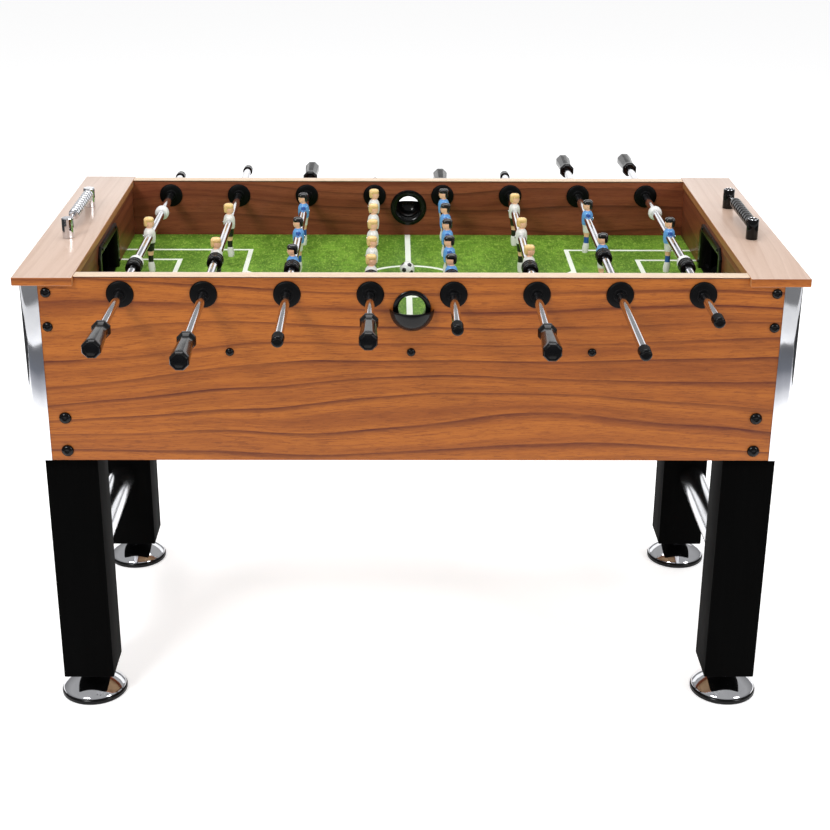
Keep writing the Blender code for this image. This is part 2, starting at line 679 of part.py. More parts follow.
def rod_profile(rod):
    """Radius along the rod from its rear end to its front end, bare between fittings."""
    hidden = HANDLE_END_WALL + GAP
    rear = rod["rear"] - (hidden if rod["handle"] > 0 else 0.0)
    front = rod["front"] + (hidden if rod["handle"] < 0 else 0.0)
    points = [(0.0, rear)]
    reached = rear
    for start, stop, radius in rod_fittings(rod):
        if reached - start > GAP:
            points += [(ROD_RADIUS, reached), (ROD_RADIUS, start)]
        points += [(radius, start), (radius, stop)]
        reached = stop
    if reached - front > GAP:
        points += [(ROD_RADIUS, reached), (ROD_RADIUS, front)]
    return points + [(0.0, front)]


def handle_profile():
    """An eight-sided grip: collar, waist, swelling body; blind bore for the rod end."""
    bore = (ROD_RADIUS + GAP) / math.cos(math.pi / HANDLE_SIDES)
    grip, waist, collar = HANDLE_RADIUS, HANDLE_WAIST_RADIUS, HANDLE_COLLAR_RADIUS
    length = HANDLE_LENGTH
    return [(0.0, length), (grip - 0.002, length), (grip, length - 0.003),
            (grip, length * 0.62), (waist + 0.001, length * 0.36), (waist, 0.022),
            (collar, 0.014), (collar, 0.006), (waist, 0.0),
            (bore, 0.0), (bore, length - HANDLE_END_WALL), (0.0, length - HANDLE_END_WALL)]


def bumper_profile():
    """A ribbed rubber ring that rides loose on the rod."""
    rib, valley, bore = BUMPER_RADIUS, BUMPER_RADIUS - 0.002, ROD_BORE
    length = BUMPER_LENGTH
    return [(bore, length), (rib, length), (rib, length * 0.62), (valley, length * 0.55),
            (valley, length * 0.45), (rib, length * 0.38), (rib, 0.0), (bore, 0.0)]


def build_rods():
    along_y = (-math.pi / 2, 0.0, 0.0)
    for index, rod in enumerate(RODS):
        number = str(index + 1)
        x = rod_x(index)
        team = WHITE_PLASTIC if rod["facing"] > 0 else CHROME
        shaft = turned("rod_" + number, rod_profile(rod), team, 12)
        shaft.location = (x, 0.0, ROD_Z)
        shaft.rotation_euler = along_y
        for place, y in enumerate(men_places(rod)):
            name = "rod_" + number + "_man_" + str(place + 1)
            man = add(name, man_mesh(name, rod["facing"]), None, True)
            man.location = (x, y, ROD_Z)
            boolean(shaft, man, "UNION")

        handle = turned("rod_" + number + "_handle", handle_profile(), BLACK_PLASTIC,
                        HANDLE_SIDES)
        tip = rod["front"] if rod["handle"] < 0 else rod["rear"]
        handle.location = (x, tip - rod["handle"] * HANDLE_LENGTH, ROD_Z)
        handle.rotation_euler = (-rod["handle"] * math.pi / 2, 0.0, 0.0)

        bumper = turned("rod_" + number + "_bumper", bumper_profile(), RUBBER, 12)
        start = rod["middle"] - bumper_reach(rod) - GAP - BUMPER_LENGTH
        bumper.location = (x, start, ROD_Z)
        bumper.rotation_euler = along_y


def build_ball():
    def ball(bm):
        bmesh.ops.create_icosphere(bm, subdivisions=2, radius=BALL_RADIUS)
    made = add("game_ball", mesh_from("game_ball", ball), WHITE_PLASTIC)
    made.location = (BALL_X, BALL_Y, FIELD_TOP + GAP + BALL_RADIUS)


build_cabinet()
build_guards()
build_goals()
build_returns()
build_entries()
build_legs()
build_scorers()
build_rods()
build_ball()
bpy.context.view_layer.update()
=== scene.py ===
# %% [markdown]
# # A foosball table, piece by piece
# A home foosball table is a laminated box on four square legs. Eight plated rods cross it, and
# each one slides and spins with moulded players on it. Its plain shapes, sizes and joints are
# already packed as a fixed frame. This file dresses that frame: every visible piece is
# modelled again with softened edges and small fittings, and gets a finish made of nodes.

# %% Load the frame and note its size
import math
import bmesh
import bpy
from mathutils import Matrix, Vector


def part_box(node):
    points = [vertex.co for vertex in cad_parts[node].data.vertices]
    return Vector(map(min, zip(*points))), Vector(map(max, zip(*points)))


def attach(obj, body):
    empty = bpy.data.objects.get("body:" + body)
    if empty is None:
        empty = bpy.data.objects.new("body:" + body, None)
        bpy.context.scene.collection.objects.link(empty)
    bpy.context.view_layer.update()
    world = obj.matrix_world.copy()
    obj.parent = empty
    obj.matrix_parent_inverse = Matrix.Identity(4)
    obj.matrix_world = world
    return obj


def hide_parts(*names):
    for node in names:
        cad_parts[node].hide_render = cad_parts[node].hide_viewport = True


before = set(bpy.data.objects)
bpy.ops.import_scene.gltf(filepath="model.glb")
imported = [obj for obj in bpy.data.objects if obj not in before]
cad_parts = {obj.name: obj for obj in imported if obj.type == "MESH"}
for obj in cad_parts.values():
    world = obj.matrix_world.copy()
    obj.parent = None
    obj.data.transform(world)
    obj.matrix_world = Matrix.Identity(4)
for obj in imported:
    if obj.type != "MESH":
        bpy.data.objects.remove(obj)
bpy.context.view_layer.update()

# %% [markdown]
# ## The camera
# The view comes first, so that every later look at the scene is from the same place. A long
# lens from three metres in front, looking down at the table by 22 degrees, keeps the upright
# edges nearly parallel and still shows the whole pitch.

# %% Set up the camera
PITCH, YAW, ROLL = 0.3890, 0.0089, 0.0046
lens = bpy.data.cameras.new("camera")
lens.sensor_width = 36.0
lens.lens = 68.54
lens.shift_x, lens.shift_y = 0.0114, 0.0022
camera = bpy.data.objects.new("camera", lens)
bpy.context.scene.collection.objects.link(camera)
forward = Vector((math.sin(YAW) * math.cos(PITCH), math.cos(YAW) * math.cos(PITCH),
                  -math.sin(PITCH)))
level = forward.cross(Vector((0, 0, 1))).normalized()
right = level * math.cos(ROLL) + level.cross(forward) * math.sin(ROLL)
facing = Matrix((right, right.cross(forward), -forward)).transposed().to_4x4()
camera.matrix_world = Matrix.Translation((-0.0333, -2.9534, 1.6709)) @ facing
bpy.context.scene.camera = camera
print("camera", [round(v, 3) for v in camera.location], "lens", lens.lens)

# %% [markdown]
# ## A few hand tools
# Blender's operators act on whatever is selected, so each helper first deselects everything
# and then selects its own piece. Most pieces here are either blocks with softened edges or
# round shapes that grow along an axis, so two helpers, `block` and `grow`, make nearly all.

# %% Select, open and smooth a piece
def take(*pieces):
    """Leave edit mode and select only these pieces."""
    if bpy.context.mode != "OBJECT":
        bpy.ops.object.mode_set(mode="OBJECT")
    bpy.ops.object.select_all(action="DESELECT")
    for piece in pieces:
        piece.select_set(True)
        bpy.context.view_layer.objects.active = piece


def open_up(piece):
    """Go into a piece's mesh, with all of it selected."""
    take(piece)
    bpy.ops.object.mode_set(mode="EDIT")
    everything()


def everything():
    bpy.ops.mesh.select_all(action="SELECT")


def close(outward=False):
    """Leave the mesh, after turning its faces outward if asked."""
    if outward:
        everything()
        bpy.ops.mesh.normals_make_consistent(inside=False)
    bpy.ops.object.mode_set(mode="OBJECT")


def choose(piece, kind, test):
    """In edit mode, select the faces or edges whose middle and direction pass a test."""
    bpy.ops.mesh.select_mode(type=kind)
    bpy.ops.mesh.select_all(action="DESELECT")
    mesh = bmesh.from_edit_mesh(piece.data)
    if kind == "FACE":
        for face in mesh.faces:
            if test(face.calc_center_median(), face.normal):
                face.select_set(True)
    else:
        for edge in mesh.edges:
            a, b = (corner.co for corner in edge.verts)
            if test((a + b) / 2, (b - a).normalized()):
                edge.select_set(True)
    bmesh.update_edit_mesh(piece.data)


def smooth(piece, degrees=35):
    take(piece)
    bpy.ops.object.shade_smooth_by_angle(angle=math.radians(degrees))
    return piece


# %% Change a piece with a modifier, cut, join, coat or discard
def apply(piece, kind, **settings):
    take(piece)
    step = piece.modifiers.new(kind.lower(), kind)
    for name, value in settings.items():
        setattr(step, name, value)
    bpy.ops.object.modifier_apply(modifier=step.name)
    return piece


def soften(piece, width, segments=3, degrees=40):
    """Round the edges that are sharper than an angle."""
    apply(piece, "BEVEL", width=width, segments=segments, limit_method="ANGLE",
          angle_limit=math.radians(degrees))
    return smooth(piece)


def cut(piece, *cutters):
    for cutter in cutters:
        apply(piece, "BOOLEAN", object=cutter, operation="DIFFERENCE", solver="EXACT")
    discard(*cutters)
    return piece


def join(first, *others):
    """Make several closed shapes one piece, which keeps their finishes."""
    take(*others, first)
    bpy.ops.object.join()
    return first


def coat(piece, *finishes):
    """Give a piece its finishes, one material slot each."""
    for finish in finishes:
        piece.data.materials.append(finish.material)
    return piece


def discard(*patterns):
    """Remove shapes that were made only to be copied."""
    for pattern in patterns:
        bpy.data.objects.remove(pattern, do_unlink=True)


# %% Add a block, or grow a round shape along Z
SAME_POINT = 0.000002               # corners closer than this are one corner


def named(name):
    """Name the primitive that was just added and put its place into its mesh."""
    piece = bpy.context.object
    piece.name = piece.data.name = name
    bpy.ops.object.transform_apply(location=True, rotation=True, scale=True)
    return piece


def block(name, low, high):
    take()
    bpy.ops.mesh.primitive_cube_add(
        size=1.0, location=[(a + b) / 2 for a, b in zip(low, high)],
        scale=[abs(b - a) for a, b in zip(low, high)])
    return named(name)


def grow(name, sections, sides=32, ring=False):
    """A circle drawn up the Z axis. A section is (height, radius), or (height, X radius,
    Y radius, X shift). With ring, the last section comes back to the first."""
    rows = [(s[0], s[1], s[1], 0.0) if len(s) == 2 else (*s, 0.0)[:4] for s in sections]
    height, wide, deep, shift = rows[0]
    take()
    bpy.ops.mesh.primitive_circle_add(vertices=sides, radius=1.0,
                                      fill_type="NOTHING" if ring else "NGON")
    piece = named(name)
    open_up(piece)
    bpy.ops.transform.resize(value=(wide, deep, 1.0), center_override=(0, 0, 0))
    bpy.ops.transform.translate(value=(shift, 0, height))
    for new in rows[1:]:
        bpy.ops.mesh.extrude_region_move(TRANSFORM_OT_translate={
            "value": (new[3] - shift, 0, new[0] - height)})
        bpy.ops.transform.resize(value=(new[1] / wide, new[2] / deep, 1.0),
                                 center_override=(new[3], 0, new[0]))
        height, wide, deep, shift = new
    everything()
    bpy.ops.mesh.remove_doubles(threshold=SAME_POINT)
    close(outward=True)
    return piece


# %% Put a piece in its place, copy it, and say what it belongs to
ALONG_Y = (-math.pi / 2, 0, 0)      # turns a shape grown along Z to lie along +Y
ALONG_MINUS_Y = (math.pi / 2, 0, 0)
ENDS = (("front", -1), ("rear", 1))
SIDES = (("left", -1), ("right", 1))
CORNERS = [f"{end}_{side}" for end, _ in ENDS for side, _ in SIDES]
INWARD = {-1: ALONG_Y, 1: ALONG_MINUS_Y}    # towards the middle, from the front or the rear


def place(piece, at=(0, 0, 0), turn=(0, 0, 0)):
    piece.location = at
    piece.rotation_euler = turn
    take(piece)
    bpy.ops.object.transform_apply(location=True, rotation=True, scale=True)
    return piece


def again(piece, name, at=(0, 0, 0), turn=(0, 0, 0)):
    """A copy with its own mesh, turned and moved from where the first one is."""
    copy = bpy.data.objects.new(name, piece.data.copy())
    bpy.context.scene.collection.objects.link(copy)
    copy.data.name = name
    return place(copy, at, turn)


def belongs(piece, body, slot, *nodes):
    """The body that a piece moves with, and the frame nodes it shows. The slot is not used."""
    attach(piece, body)
    if nodes:
        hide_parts(*nodes)
    return piece


def retraced(node, name):
    """A clean copy of a frame node's shape, with its loose triangles joined up again."""
    piece = bpy.data.objects.new(name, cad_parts[node].data.copy())
    bpy.context.scene.collection.objects.link(piece)
    piece.data.name = name
    piece.data.materials.clear()
    open_up(piece)
    bpy.ops.mesh.remove_doubles(threshold=SAME_POINT)
    bpy.ops.mesh.dissolve_limited(angle_limit=math.radians(1))
    close()
    return piece


# %% [markdown]
# ## Writing finishes as sums
# A finish is a small program: noise, bands and masks that are added and multiplied. Wiring
# each Math node by hand hides that, so a `Wire` stands for a socket and turns + - * / into
# Math nodes, and `Finish.node` adds any other kind of node in one line.

# %% A wire between nodes that understands arithmetic
class Wire:
    def __init__(self, finish, socket):
        self.finish = finish
        self.socket = socket

    def maths(self, operation, *values):
        return self.finish.node("Math", {"operation": operation}, dict(enumerate(values)))

    def __add__(self, other):
        return self.maths("ADD", self, other)

    def __sub__(self, other):
        return self.maths("SUBTRACT", self, other)

    def __rsub__(self, other):
        return self.maths("SUBTRACT", other, self)

    def __mul__(self, other):
        return self.maths("MULTIPLY", self, other)

    def __truediv__(self, other):
        return self.maths("DIVIDE", self, other)

    def __lt__(self, other):
        return self.maths("LESS_THAN", self, other)

    def __gt__(self, other):
        return self.maths("GREATER_THAN", self, other)

    def __abs__(self):
        return self.maths("ABSOLUTE", self)

    def __pow__(self, other):
        return self.maths("POWER", self, other)

    def larger(self, other):
        return self.maths("MAXIMUM", self, other)

    def fraction(self):
        return self.maths("FRACT", self)

    __radd__ = __add__
    __rmul__ = __mul__


# %% A finish: one material and the nodes that make it
def tone(red, green, blue):
    """A colour as it is seen on a screen, from 0 to 255, made linear for the shader."""
    def linear(value):
        value = value / 255
        return value / 12.92 if value <= 0.04045 else ((value + 0.055) / 1.055) ** 2.4
    return (linear(red), linear(green), linear(blue), 1.0)


class Finish:
    def __init__(self, name, **constants):
        self.material = bpy.data.materials.new(name)
        self.material.use_nodes = True
        self.tree = self.material.node_tree
        self.shader = self.tree.nodes["Principled BSDF"]
        self.set(**constants)

    def set(self, **sockets):
        for name, value in sockets.items():
            self.feed(self.shader.inputs[name.replace("_", " ")], value)

    def feed(self, socket, value):
        if isinstance(value, Wire):
            self.tree.links.new(value.socket, socket)
        else:
            socket.default_value = value

    def node(self, kind, settings=None, inputs=None, out=0):
        made = self.tree.nodes.new("ShaderNode" + kind)
        for name, value in (settings or {}).items():
            if name == "stops":
                stops = made.color_ramp.elements
                stops.remove(stops[1])
                stops[0].position, stops[0].color = value[0]
                for position, colour in value[1:]:
                    stops.new(position).color = colour
            else:
                setattr(made, name, value)
        for name, value in (inputs or {}).items():
            self.feed(made.inputs[name], value)
        return Wire(self, made.outputs[out])

    def position(self):
        """The X, Y and Z of the point on the piece, in metres."""
        here = self.node("TexCoord", out=3)
        return [self.node("SeparateXYZ", {}, {0: here}, out=axis) for axis in range(3)]

    def noise(self, x, y, z, detail=3.0, roughness=0.55):
        """Noise from 0 to 1 at a point, which is given already scaled along each axis."""
        point = self.node("CombineXYZ", {}, {0: x, 1: y, 2: z})
        return self.node("TexNoise", {}, {"Vector": point, "Scale": 1.0, "Detail": detail,
                                          "Roughness": roughness})

    def grain(self, fine_x, fine_y, fine_z, detail=3.0, roughness=0.55):
        """Noise on the piece itself, given how fine it is along each axis."""
        x, y, z = self.position()
        return self.noise(x * fine_x, y * fine_y, z * fine_z, detail, roughness)

    def blend(self, amount, first, second):
        return self.node("Mix", {"data_type": "RGBA"}, {0: amount, 6: first, 7: second},
                         out=2)

    def ramp(self, amount, *stops):
        """Each stop is (position, colour), where a single number is a grey."""
        stops = [(at, colour if isinstance(colour, tuple) else (colour,) * 3 + (1.0,))
                 for at, colour in stops]
        return self.node("ValToRGB", {"stops": stops}, {0: amount})

    def bump(self, height, strength, distance):
        self.set(Normal=self.node("Bump", {}, {"Height": height, "Strength": strength,
                                               "Distance": distance}))


print("tools ready")

# %% [markdown]
# ## Wood laminate
# The cabinet is board with a printed wood film, so the grain is nearly level and the surface
# is even and a little glossy. A slowly wandering height stands for the layers of the tree:
# broad bands and thin dark growth lines both follow it, and fine streaks and pores lie over
# them. The same recipe serves the warm outside, the dark inside and the pale tops, with the
# grain running along a different axis.

# %% Make the wood laminates
def laminate(name, light, dark, line, run, across, contrast=1.0, lines=26.0, gloss=0.34,
             coat=0.12):
    """run and across are the axes, 0 to 2, along and across the grain."""
    finish = Finish(name, Coat_Weight=coat, Coat_Roughness=0.12, Specular_IOR_Level=0.3)
    where = finish.position()
    depth = where[3 - run - across] * 2.0
    along, over = where[run], where[across]
    wander = finish.noise(along * 1.25 + 7.0, over * 4.0, depth + 3.0, 2.0, 0.35)
    layer = over * lines + wander * 4.2
    bands = finish.noise(along * 0.9, layer * 1.6, depth, 4.0, 0.6)
    thin = finish.ramp(layer.fraction(), (0.0, 0), (0.76, 0), (0.95, 1), (0.975, 1),
                       (1.0, 0))
    patchy = finish.noise(along * 2.2, layer * 0.9, depth + 9.0, 2.0)
    streaks = finish.noise(along * 16.0, layer * 11.0, depth, 4.0, 0.75)
    pores = finish.noise(along * 42.0, over * 640.0, depth, 2.0, 0.7)
    colour = finish.blend(finish.ramp(bands, (0.30, 0), (0.60, 1)), dark, light)
    colour = finish.blend(thin * (patchy - 0.18) * (2.2 * contrast), colour, line)
    colour = finish.blend((streaks - 0.50) * (4.0 * contrast), colour, dark)
    colour = finish.blend((0.48 - streaks) * (2.4 * contrast), colour, light)
    colour = finish.blend((pores > 0.58) * (0.34 * contrast), colour, line)
    finish.set(Base_Color=colour, Roughness=gloss + (1 - streaks) * 0.14)
    finish.bump(streaks + pores * 0.5, 0.08, 0.0004)
    return finish


cherry = (tone(168, 95, 28), tone(129, 65, 18), tone(82, 29, 12))
cherry_long = laminate("cherry_long", *cherry, run=0, across=2)
cherry_end = laminate("cherry_end", *cherry, run=1, across=2)
cherry_lid = laminate("cherry_lid", tone(194, 134, 84), tone(166, 106, 60),
                      tone(126, 66, 34), run=1, across=2, contrast=0.6)
inner = (tone(142, 78, 50), tone(108, 50, 31), tone(68, 26, 17))
inner_long = laminate("inner_long", *inner, run=0, across=2, contrast=0.8)
inner_end = laminate("inner_end", *inner, run=1, across=2, contrast=0.8)
pale = (tone(209, 184, 168), tone(197, 169, 151), tone(178, 146, 126))
pale_lid = laminate("pale_lid", *pale, run=1, across=0, contrast=0.45, lines=40.0,
                    gloss=0.24, coat=0.10)
print("laminates:", cherry_long.material.name, inner_long.material.name,
      pale_lid.material.name)

# %% [markdown]
# ## Edge strips, bare board and black laminate
# The cut edges of the boards are covered by a cream plastic strip. Under the pitch the
# braces are bare board, which is speckled with fibres. The legs have a black film with a
# faint grain that shows only where it catches the light.

# %% Make the strip, board and black finishes
cream = Finish("cream_strip", Roughness=0.36, Specular_IOR_Level=0.5)
fleck = cream.grain(60.0, 60.0, 60.0)
cream.set(Base_Color=cream.blend(fleck, tone(232, 208, 184), tone(214, 188, 160)))
cream.bump(fleck, 0.05, 0.0003)

bare = Finish("bare_board", Roughness=0.85)
fibre = bare.grain(420.0, 420.0, 420.0, 4.0, 0.7)
bare.set(Base_Color=bare.blend(fibre, tone(150, 118, 84), tone(196, 168, 130)))
bare.bump(fibre, 0.3, 0.0006)

leg_black = Finish("leg_black", Specular_IOR_Level=0.02)
grain = leg_black.grain(260.0, 260.0, 7.0, 4.0, 0.6)
scuff = leg_black.grain(14.0, 14.0, 5.0)
leg_black.set(Base_Color=leg_black.blend(grain, tone(2, 2, 2), tone(6, 6, 6)),
              Roughness=0.55 + scuff * 0.25)
leg_black.bump(grain, 0.16, 0.0005)
print("board finishes:", cream.material.name, bare.material.name, leg_black.material.name)

# %% [markdown]
# ## Metal, plastic and rubber
# Chrome is judged by what it mirrors, so its own finish only needs slight smears where
# hands have been. Black plastic comes out of the mould with a fine even skin. Rubber is
# duller and dusty. White and silvered plastics get a little unevenness in their gloss.

# %% Make the metal, plastic and rubber finishes
def plated(name, colour, low, high):
    finish = Finish(name, Metallic=1.0)
    smear = finish.grain(38.0, 11.0, 38.0, 4.0, 0.6)
    finish.set(Base_Color=finish.blend(smear, colour, tone(206, 207, 212)),
               Roughness=low + smear * (high - low))
    return finish


def moulded(name, colour, other, roughness, fine=900.0, strength=0.10, coat=0.0,
            shine=0.5):
    finish = Finish(name, Coat_Weight=coat, Coat_Roughness=0.06, Specular_IOR_Level=shine)
    skin = finish.grain(fine, fine, fine, 2.0)
    handled = finish.grain(45.0, 45.0, 45.0)
    finish.set(Base_Color=finish.blend(handled, colour, other),
               Roughness=roughness + (handled - 0.5) * 0.16)
    finish.bump(skin, strength, 0.0002)
    return finish


chrome = plated("chrome", tone(236, 237, 240), 0.03, 0.12)
tube_chrome = plated("tube_chrome", tone(246, 247, 249), 0.14, 0.26)
rod_plate = plated("rod_plate", tone(232, 232, 236), 0.05, 0.15)
black = moulded("black_plastic", tone(3, 3, 4), tone(9, 9, 10), 0.40, shine=0.10)
gloss_black = moulded("gloss_black", tone(3, 3, 4), tone(6, 6, 7), 0.20, coat=0.32,
                      shine=0.12)
goal_black = moulded("goal_black", tone(8, 7, 7), tone(18, 15, 14), 0.30, shine=0.3)
rubber = moulded("rubber", tone(3, 3, 4), tone(10, 10, 11), 0.24, 700.0, 0.10, 0.22, 0.12)
bolt_black = moulded("bolt_black", tone(2, 2, 3), tone(4, 4, 5), 0.14, 300.0, 0.04,
                     shine=0.22)
silver = plated("silver_bead", tone(226, 228, 232), 0.10, 0.24)
white_plastic = moulded("white_plastic", tone(240, 240, 238), tone(226, 226, 224), 0.28,
                        coat=0.3)
print("chrome, plastics and rubber made")

# %% [markdown]
# ## The printed pitch
# The playing surface is one board with a printed lawn: mown bands, fine blades and white
# markings. A line is a place where a distance is smaller than half a line's width, so each
# marking is one subtraction and one comparison, and `larger` lays them over each other.
# Below the printed face the board shows its bare fibres.

# %% Paint the pitch
turf = Finish("printed_turf", Specular_IOR_Level=0.25)
x, y, z = turf.position()
HALF_LINE = 0.0047                  # half a marking's width
MOWN_PAIR = 0.23                    # one light and one dark mown band
OUTER_BOX, GOAL_BOX = (0.327, 0.214), (0.465, 0.143)
CENTRE_CIRCLE, ARC_MIDDLE, ARC_RADIUS = 0.100, 0.390, 0.0905
PRINT_DEPTH = 0.0004


def on_line(distance, at=0.0, half=HALF_LINE):
    return abs(distance - at) < half


def inside(distance, at):
    return distance < at


def pitch_box(edge_x, edge_y):
    """The three sides of a box in front of each goal."""
    side = on_line(abs(y), edge_y) * (1 - inside(abs(x), edge_x - HALF_LINE))
    front = on_line(abs(x), edge_x) * inside(abs(y), edge_y + HALF_LINE)
    return side.larger(front)


def circle_distance(centre):
    return ((abs(x) - centre) ** 2 + y ** 2) ** 0.5


marks = on_line(x, -0.002, 0.0056)
marks = marks.larger(on_line(circle_distance(0.0), CENTRE_CIRCLE))
marks = marks.larger(pitch_box(*OUTER_BOX)).larger(pitch_box(*GOAL_BOX))
marks = marks.larger(on_line(circle_distance(ARC_MIDDLE), ARC_RADIUS)
                     * inside(abs(x), OUTER_BOX[0]))
marks = marks.larger(inside(circle_distance(0.402), 0.0065))
blades = turf.grain(300.0, 110.0, 1.0, 4.0, 0.75)
tufts = turf.grain(55.0, 45.0, 1.0, 5.0, 0.72)
clouds = turf.noise(x * 9.0, y * 10.0, z + 4.0, 3.0, 0.6)
mown = turf.ramp((x / MOWN_PAIR + 0.25).fraction(), (0.0, 0), (0.40, 0), (0.50, 1),
                 (0.90, 1), (1.0, 0))
grass = turf.blend(mown * 0.35 + (clouds - 0.42) * 1.6, tone(84, 128, 32),
                   tone(130, 178, 58))
grass = turf.blend(turf.ramp(tufts, (0.40, 0), (0.62, 1)) * 0.70, grass, tone(56, 98, 16))
grass = turf.blend(turf.ramp(blades, (0.50, 0), (0.66, 1)) * 0.62, grass,
                   tone(182, 214, 96))
worn = turf.blend(tufts * 0.25, tone(246, 250, 240), tone(206, 224, 190))
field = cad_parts["playing_field"]
FIELD_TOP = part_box("playing_field")[1].z
fibre = turf.grain(420.0, 420.0, 420.0, 4.0, 0.7)
board = turf.blend(fibre, tone(134, 104, 74), tone(172, 144, 110))
printed = turf.blend(marks, grass, worn)
turf.set(Base_Color=turf.blend(z > FIELD_TOP - PRINT_DEPTH, board, printed),
         Roughness=0.34 + blades * 0.2)
turf.bump(blades + marks * 0.4, 0.10, 0.0004)
field.material_slots[0].material = turf.material
print("pitch painted, its surface is at", round(FIELD_TOP, 4))

# %% [markdown]
# ## The cabinet boards
# The front and rear boards carry everything that turns, so they are made new: a block with
# its outer corners rounded, notches where the top boards sit, and real bores for the
# bearings and the ball entry. The other boards already have the right shape. They only need
# their razor-sharp edges taken off, so they are retraced and given a tiny bevel.

# %% Measure where the rods and the entries are
ROD_X = [sum(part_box(f"rod_{n}_bumper")[i].x for i in (0, 1)) / 2 for n in range(1, 9)]
ROD_Z = sum(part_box("rod_1_bumper")[i].z for i in (0, 1)) / 2
ENTRY_Z = 0.807
FACE, INNER_FACE = 0.352, 0.330     # of the front and rear boards
BOARD_MIDDLE = (FACE + INNER_FACE) / 2
ROD_BORE, ENTRY_BORE = 0.0142, 0.0273
FIT = 0.0003                        # the frame's gap between neighbouring pieces
HALF_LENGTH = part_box("front_panel")[1].x
BOARD_LOW, BOARD_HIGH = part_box("front_panel")[0].z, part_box("front_panel")[1].z
CAP_LOW, CAP_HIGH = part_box("left_top_cap")
print("rods at", [round(v, 4) for v in ROD_X], "height", round(ROD_Z, 4))


# %% Make the front and rear boards
def long_board(name, end):
    low, high = sorted((end * FACE, end * INNER_FACE))
    board = block(name, (-HALF_LENGTH, low, BOARD_LOW), (HALF_LENGTH, high, BOARD_HIGH))
    open_up(board)
    choose(board, "EDGE", lambda at, way: abs(way.z) > 0.9 and at.y * end > 0.34)
    bpy.ops.mesh.bevel(offset=0.008, segments=8, affect="EDGES")
    close()
    soften(board, 0.0005, 2, 60)
    cutters = []
    for side in (-1, 1):
        notch = sorted((side * (abs(CAP_HIGH.x) - FIT), side * 0.8))
        cutters.append(block("notch", (notch[0], -0.5, CAP_LOW.z - FIT),
                             (notch[1], 0.5, 1.0)))
    bores = [(x, ROD_Z, ROD_BORE) for x in ROD_X] + [(0.0, ENTRY_Z, ENTRY_BORE)]
    for x, z, radius in bores:
        bore = grow("bore", [(-0.05, radius), (0.05, radius)], 40)
        cutters.append(place(bore, (x, end * BOARD_MIDDLE, z), ALONG_Y))
    return cut(board, *cutters)


for name, end in ENDS:
    board = coat(long_board(name + "_board", end), cherry_long, inner_long)
    for face in board.data.polygons:
        within = face.normal.y * end < -0.9 and abs(face.center.x) < 0.6
        face.material_index = 1 if within and face.center.z > 0.60 else 0
    belongs(smooth(board, 20), "table", "cherry_laminate", name + "_panel")
    print(board.name, len(board.data.polygons), "faces")


# %% Retrace the end boards, goal walls and braces
def dress(node, name, finish, slot, width, segments=2):
    piece = coat(soften(retraced(node, name), width, segments), finish)
    return belongs(piece, "table", slot, node)


for side, _ in SIDES:
    dress(side + "_end_panel", side + "_end_board", cherry_end, "cherry_laminate", 0.0006)
    dress(side + "_goal_wall", side + "_inner_wall", inner_end, "inner_laminate", 0.0005)
    dress(side + "_field_brace", side + "_brace", bare, "raw_board", 0.0010)
print("end boards, inner walls and braces softened")

# %% [markdown]
# ## Top boards and edge strips
# A wide pale board covers each end and overhangs the cabinet all round. Its flat faces have
# the pale glossy film and its cut edges an orange one. The long boards' top edges have a
# cream strip that stands a hair proud of the face. Under it, and under the inner edge of each
# lid, a thin dark brown strip is painted shadow: the shade that falls under the overhang.

# %% Make the top boards
for side, _ in SIDES:
    lid = soften(block(side + "_lid", *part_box(side + "_top_cap")), 0.0016, 4)
    coat(lid, pale_lid, cherry_lid, cherry_long)
    for face in lid.data.polygons:
        if abs(face.normal.z) < 0.75:
            face.material_index = 1 if abs(face.normal.x) > abs(face.normal.y) else 2
    belongs(lid, "table", "cap_laminate", side + "_top_cap")
print("lids made")

# %% Make the cream strips and the painted shadow lines under them
# The dark brown strips are painted shadow: the shade under the cream strips' and the lids'
# overhanging edges.
shadow_line_brown = moulded("seam", tone(60, 30, 18), tone(84, 44, 28), 0.7)
STRIP_END = abs(CAP_HIGH.x) - 0.0006
STRIP_LOW, STRIP_HIGH = 0.8634, 0.8653
SHADOW_LINE_LOW, SHADOW_LINE_HIGH = 0.8618, 0.8632
LID_SHADOW_LINE_END, LID_SHADOW_LINE_LOW, LID_SHADOW_LINE_HIGH = 0.3285, 0.8478, 0.8494


def edging(name, low, high, bevel, segments, finish):
    piece = soften(block(name, low, high), bevel, segments)
    belongs(coat(piece, finish), "table", "edge_banding")


for name, end in ENDS:
    y = sorted((end * (FACE + 0.0006), end * (INNER_FACE - 0.0008)))
    edging(name + "_strip", (-STRIP_END, y[0], STRIP_LOW), (STRIP_END, y[1], STRIP_HIGH),
           0.0006, 3, cream)
    # A painted shadow line under the strip, on the outer and the inner face of the board.
    for label, at in (("outer", FACE + 0.0001), ("inner", INNER_FACE - 0.0003)):
        y = sorted((end * (at - 0.0003), end * (at + 0.0003)))
        edging(f"{name}_{label}_seam", (-STRIP_END, y[0], SHADOW_LINE_LOW),
               (STRIP_END, y[1], SHADOW_LINE_HIGH), 0.0001, 1, shadow_line_brown)
# A painted shadow line under each lid's inner edge.
for name, side in SIDES:
    x = sorted((side * 0.5846, side * 0.5852))
    edging("lid_seam_" + name, (x[0], -LID_SHADOW_LINE_END, LID_SHADOW_LINE_LOW),
           (x[1], LID_SHADOW_LINE_END, LID_SHADOW_LINE_HIGH), 0.0001, 1, shadow_line_brown)
print("strips and painted shadow lines made")

# %% [markdown]
# ## Chrome corner guards
# Each upright corner is wrapped by a plated angle. A block of the guard's outside size gets
# its one outer edge bevelled round, loses its top, bottom and inner faces, and the sheet
# that is left is given its thickness.

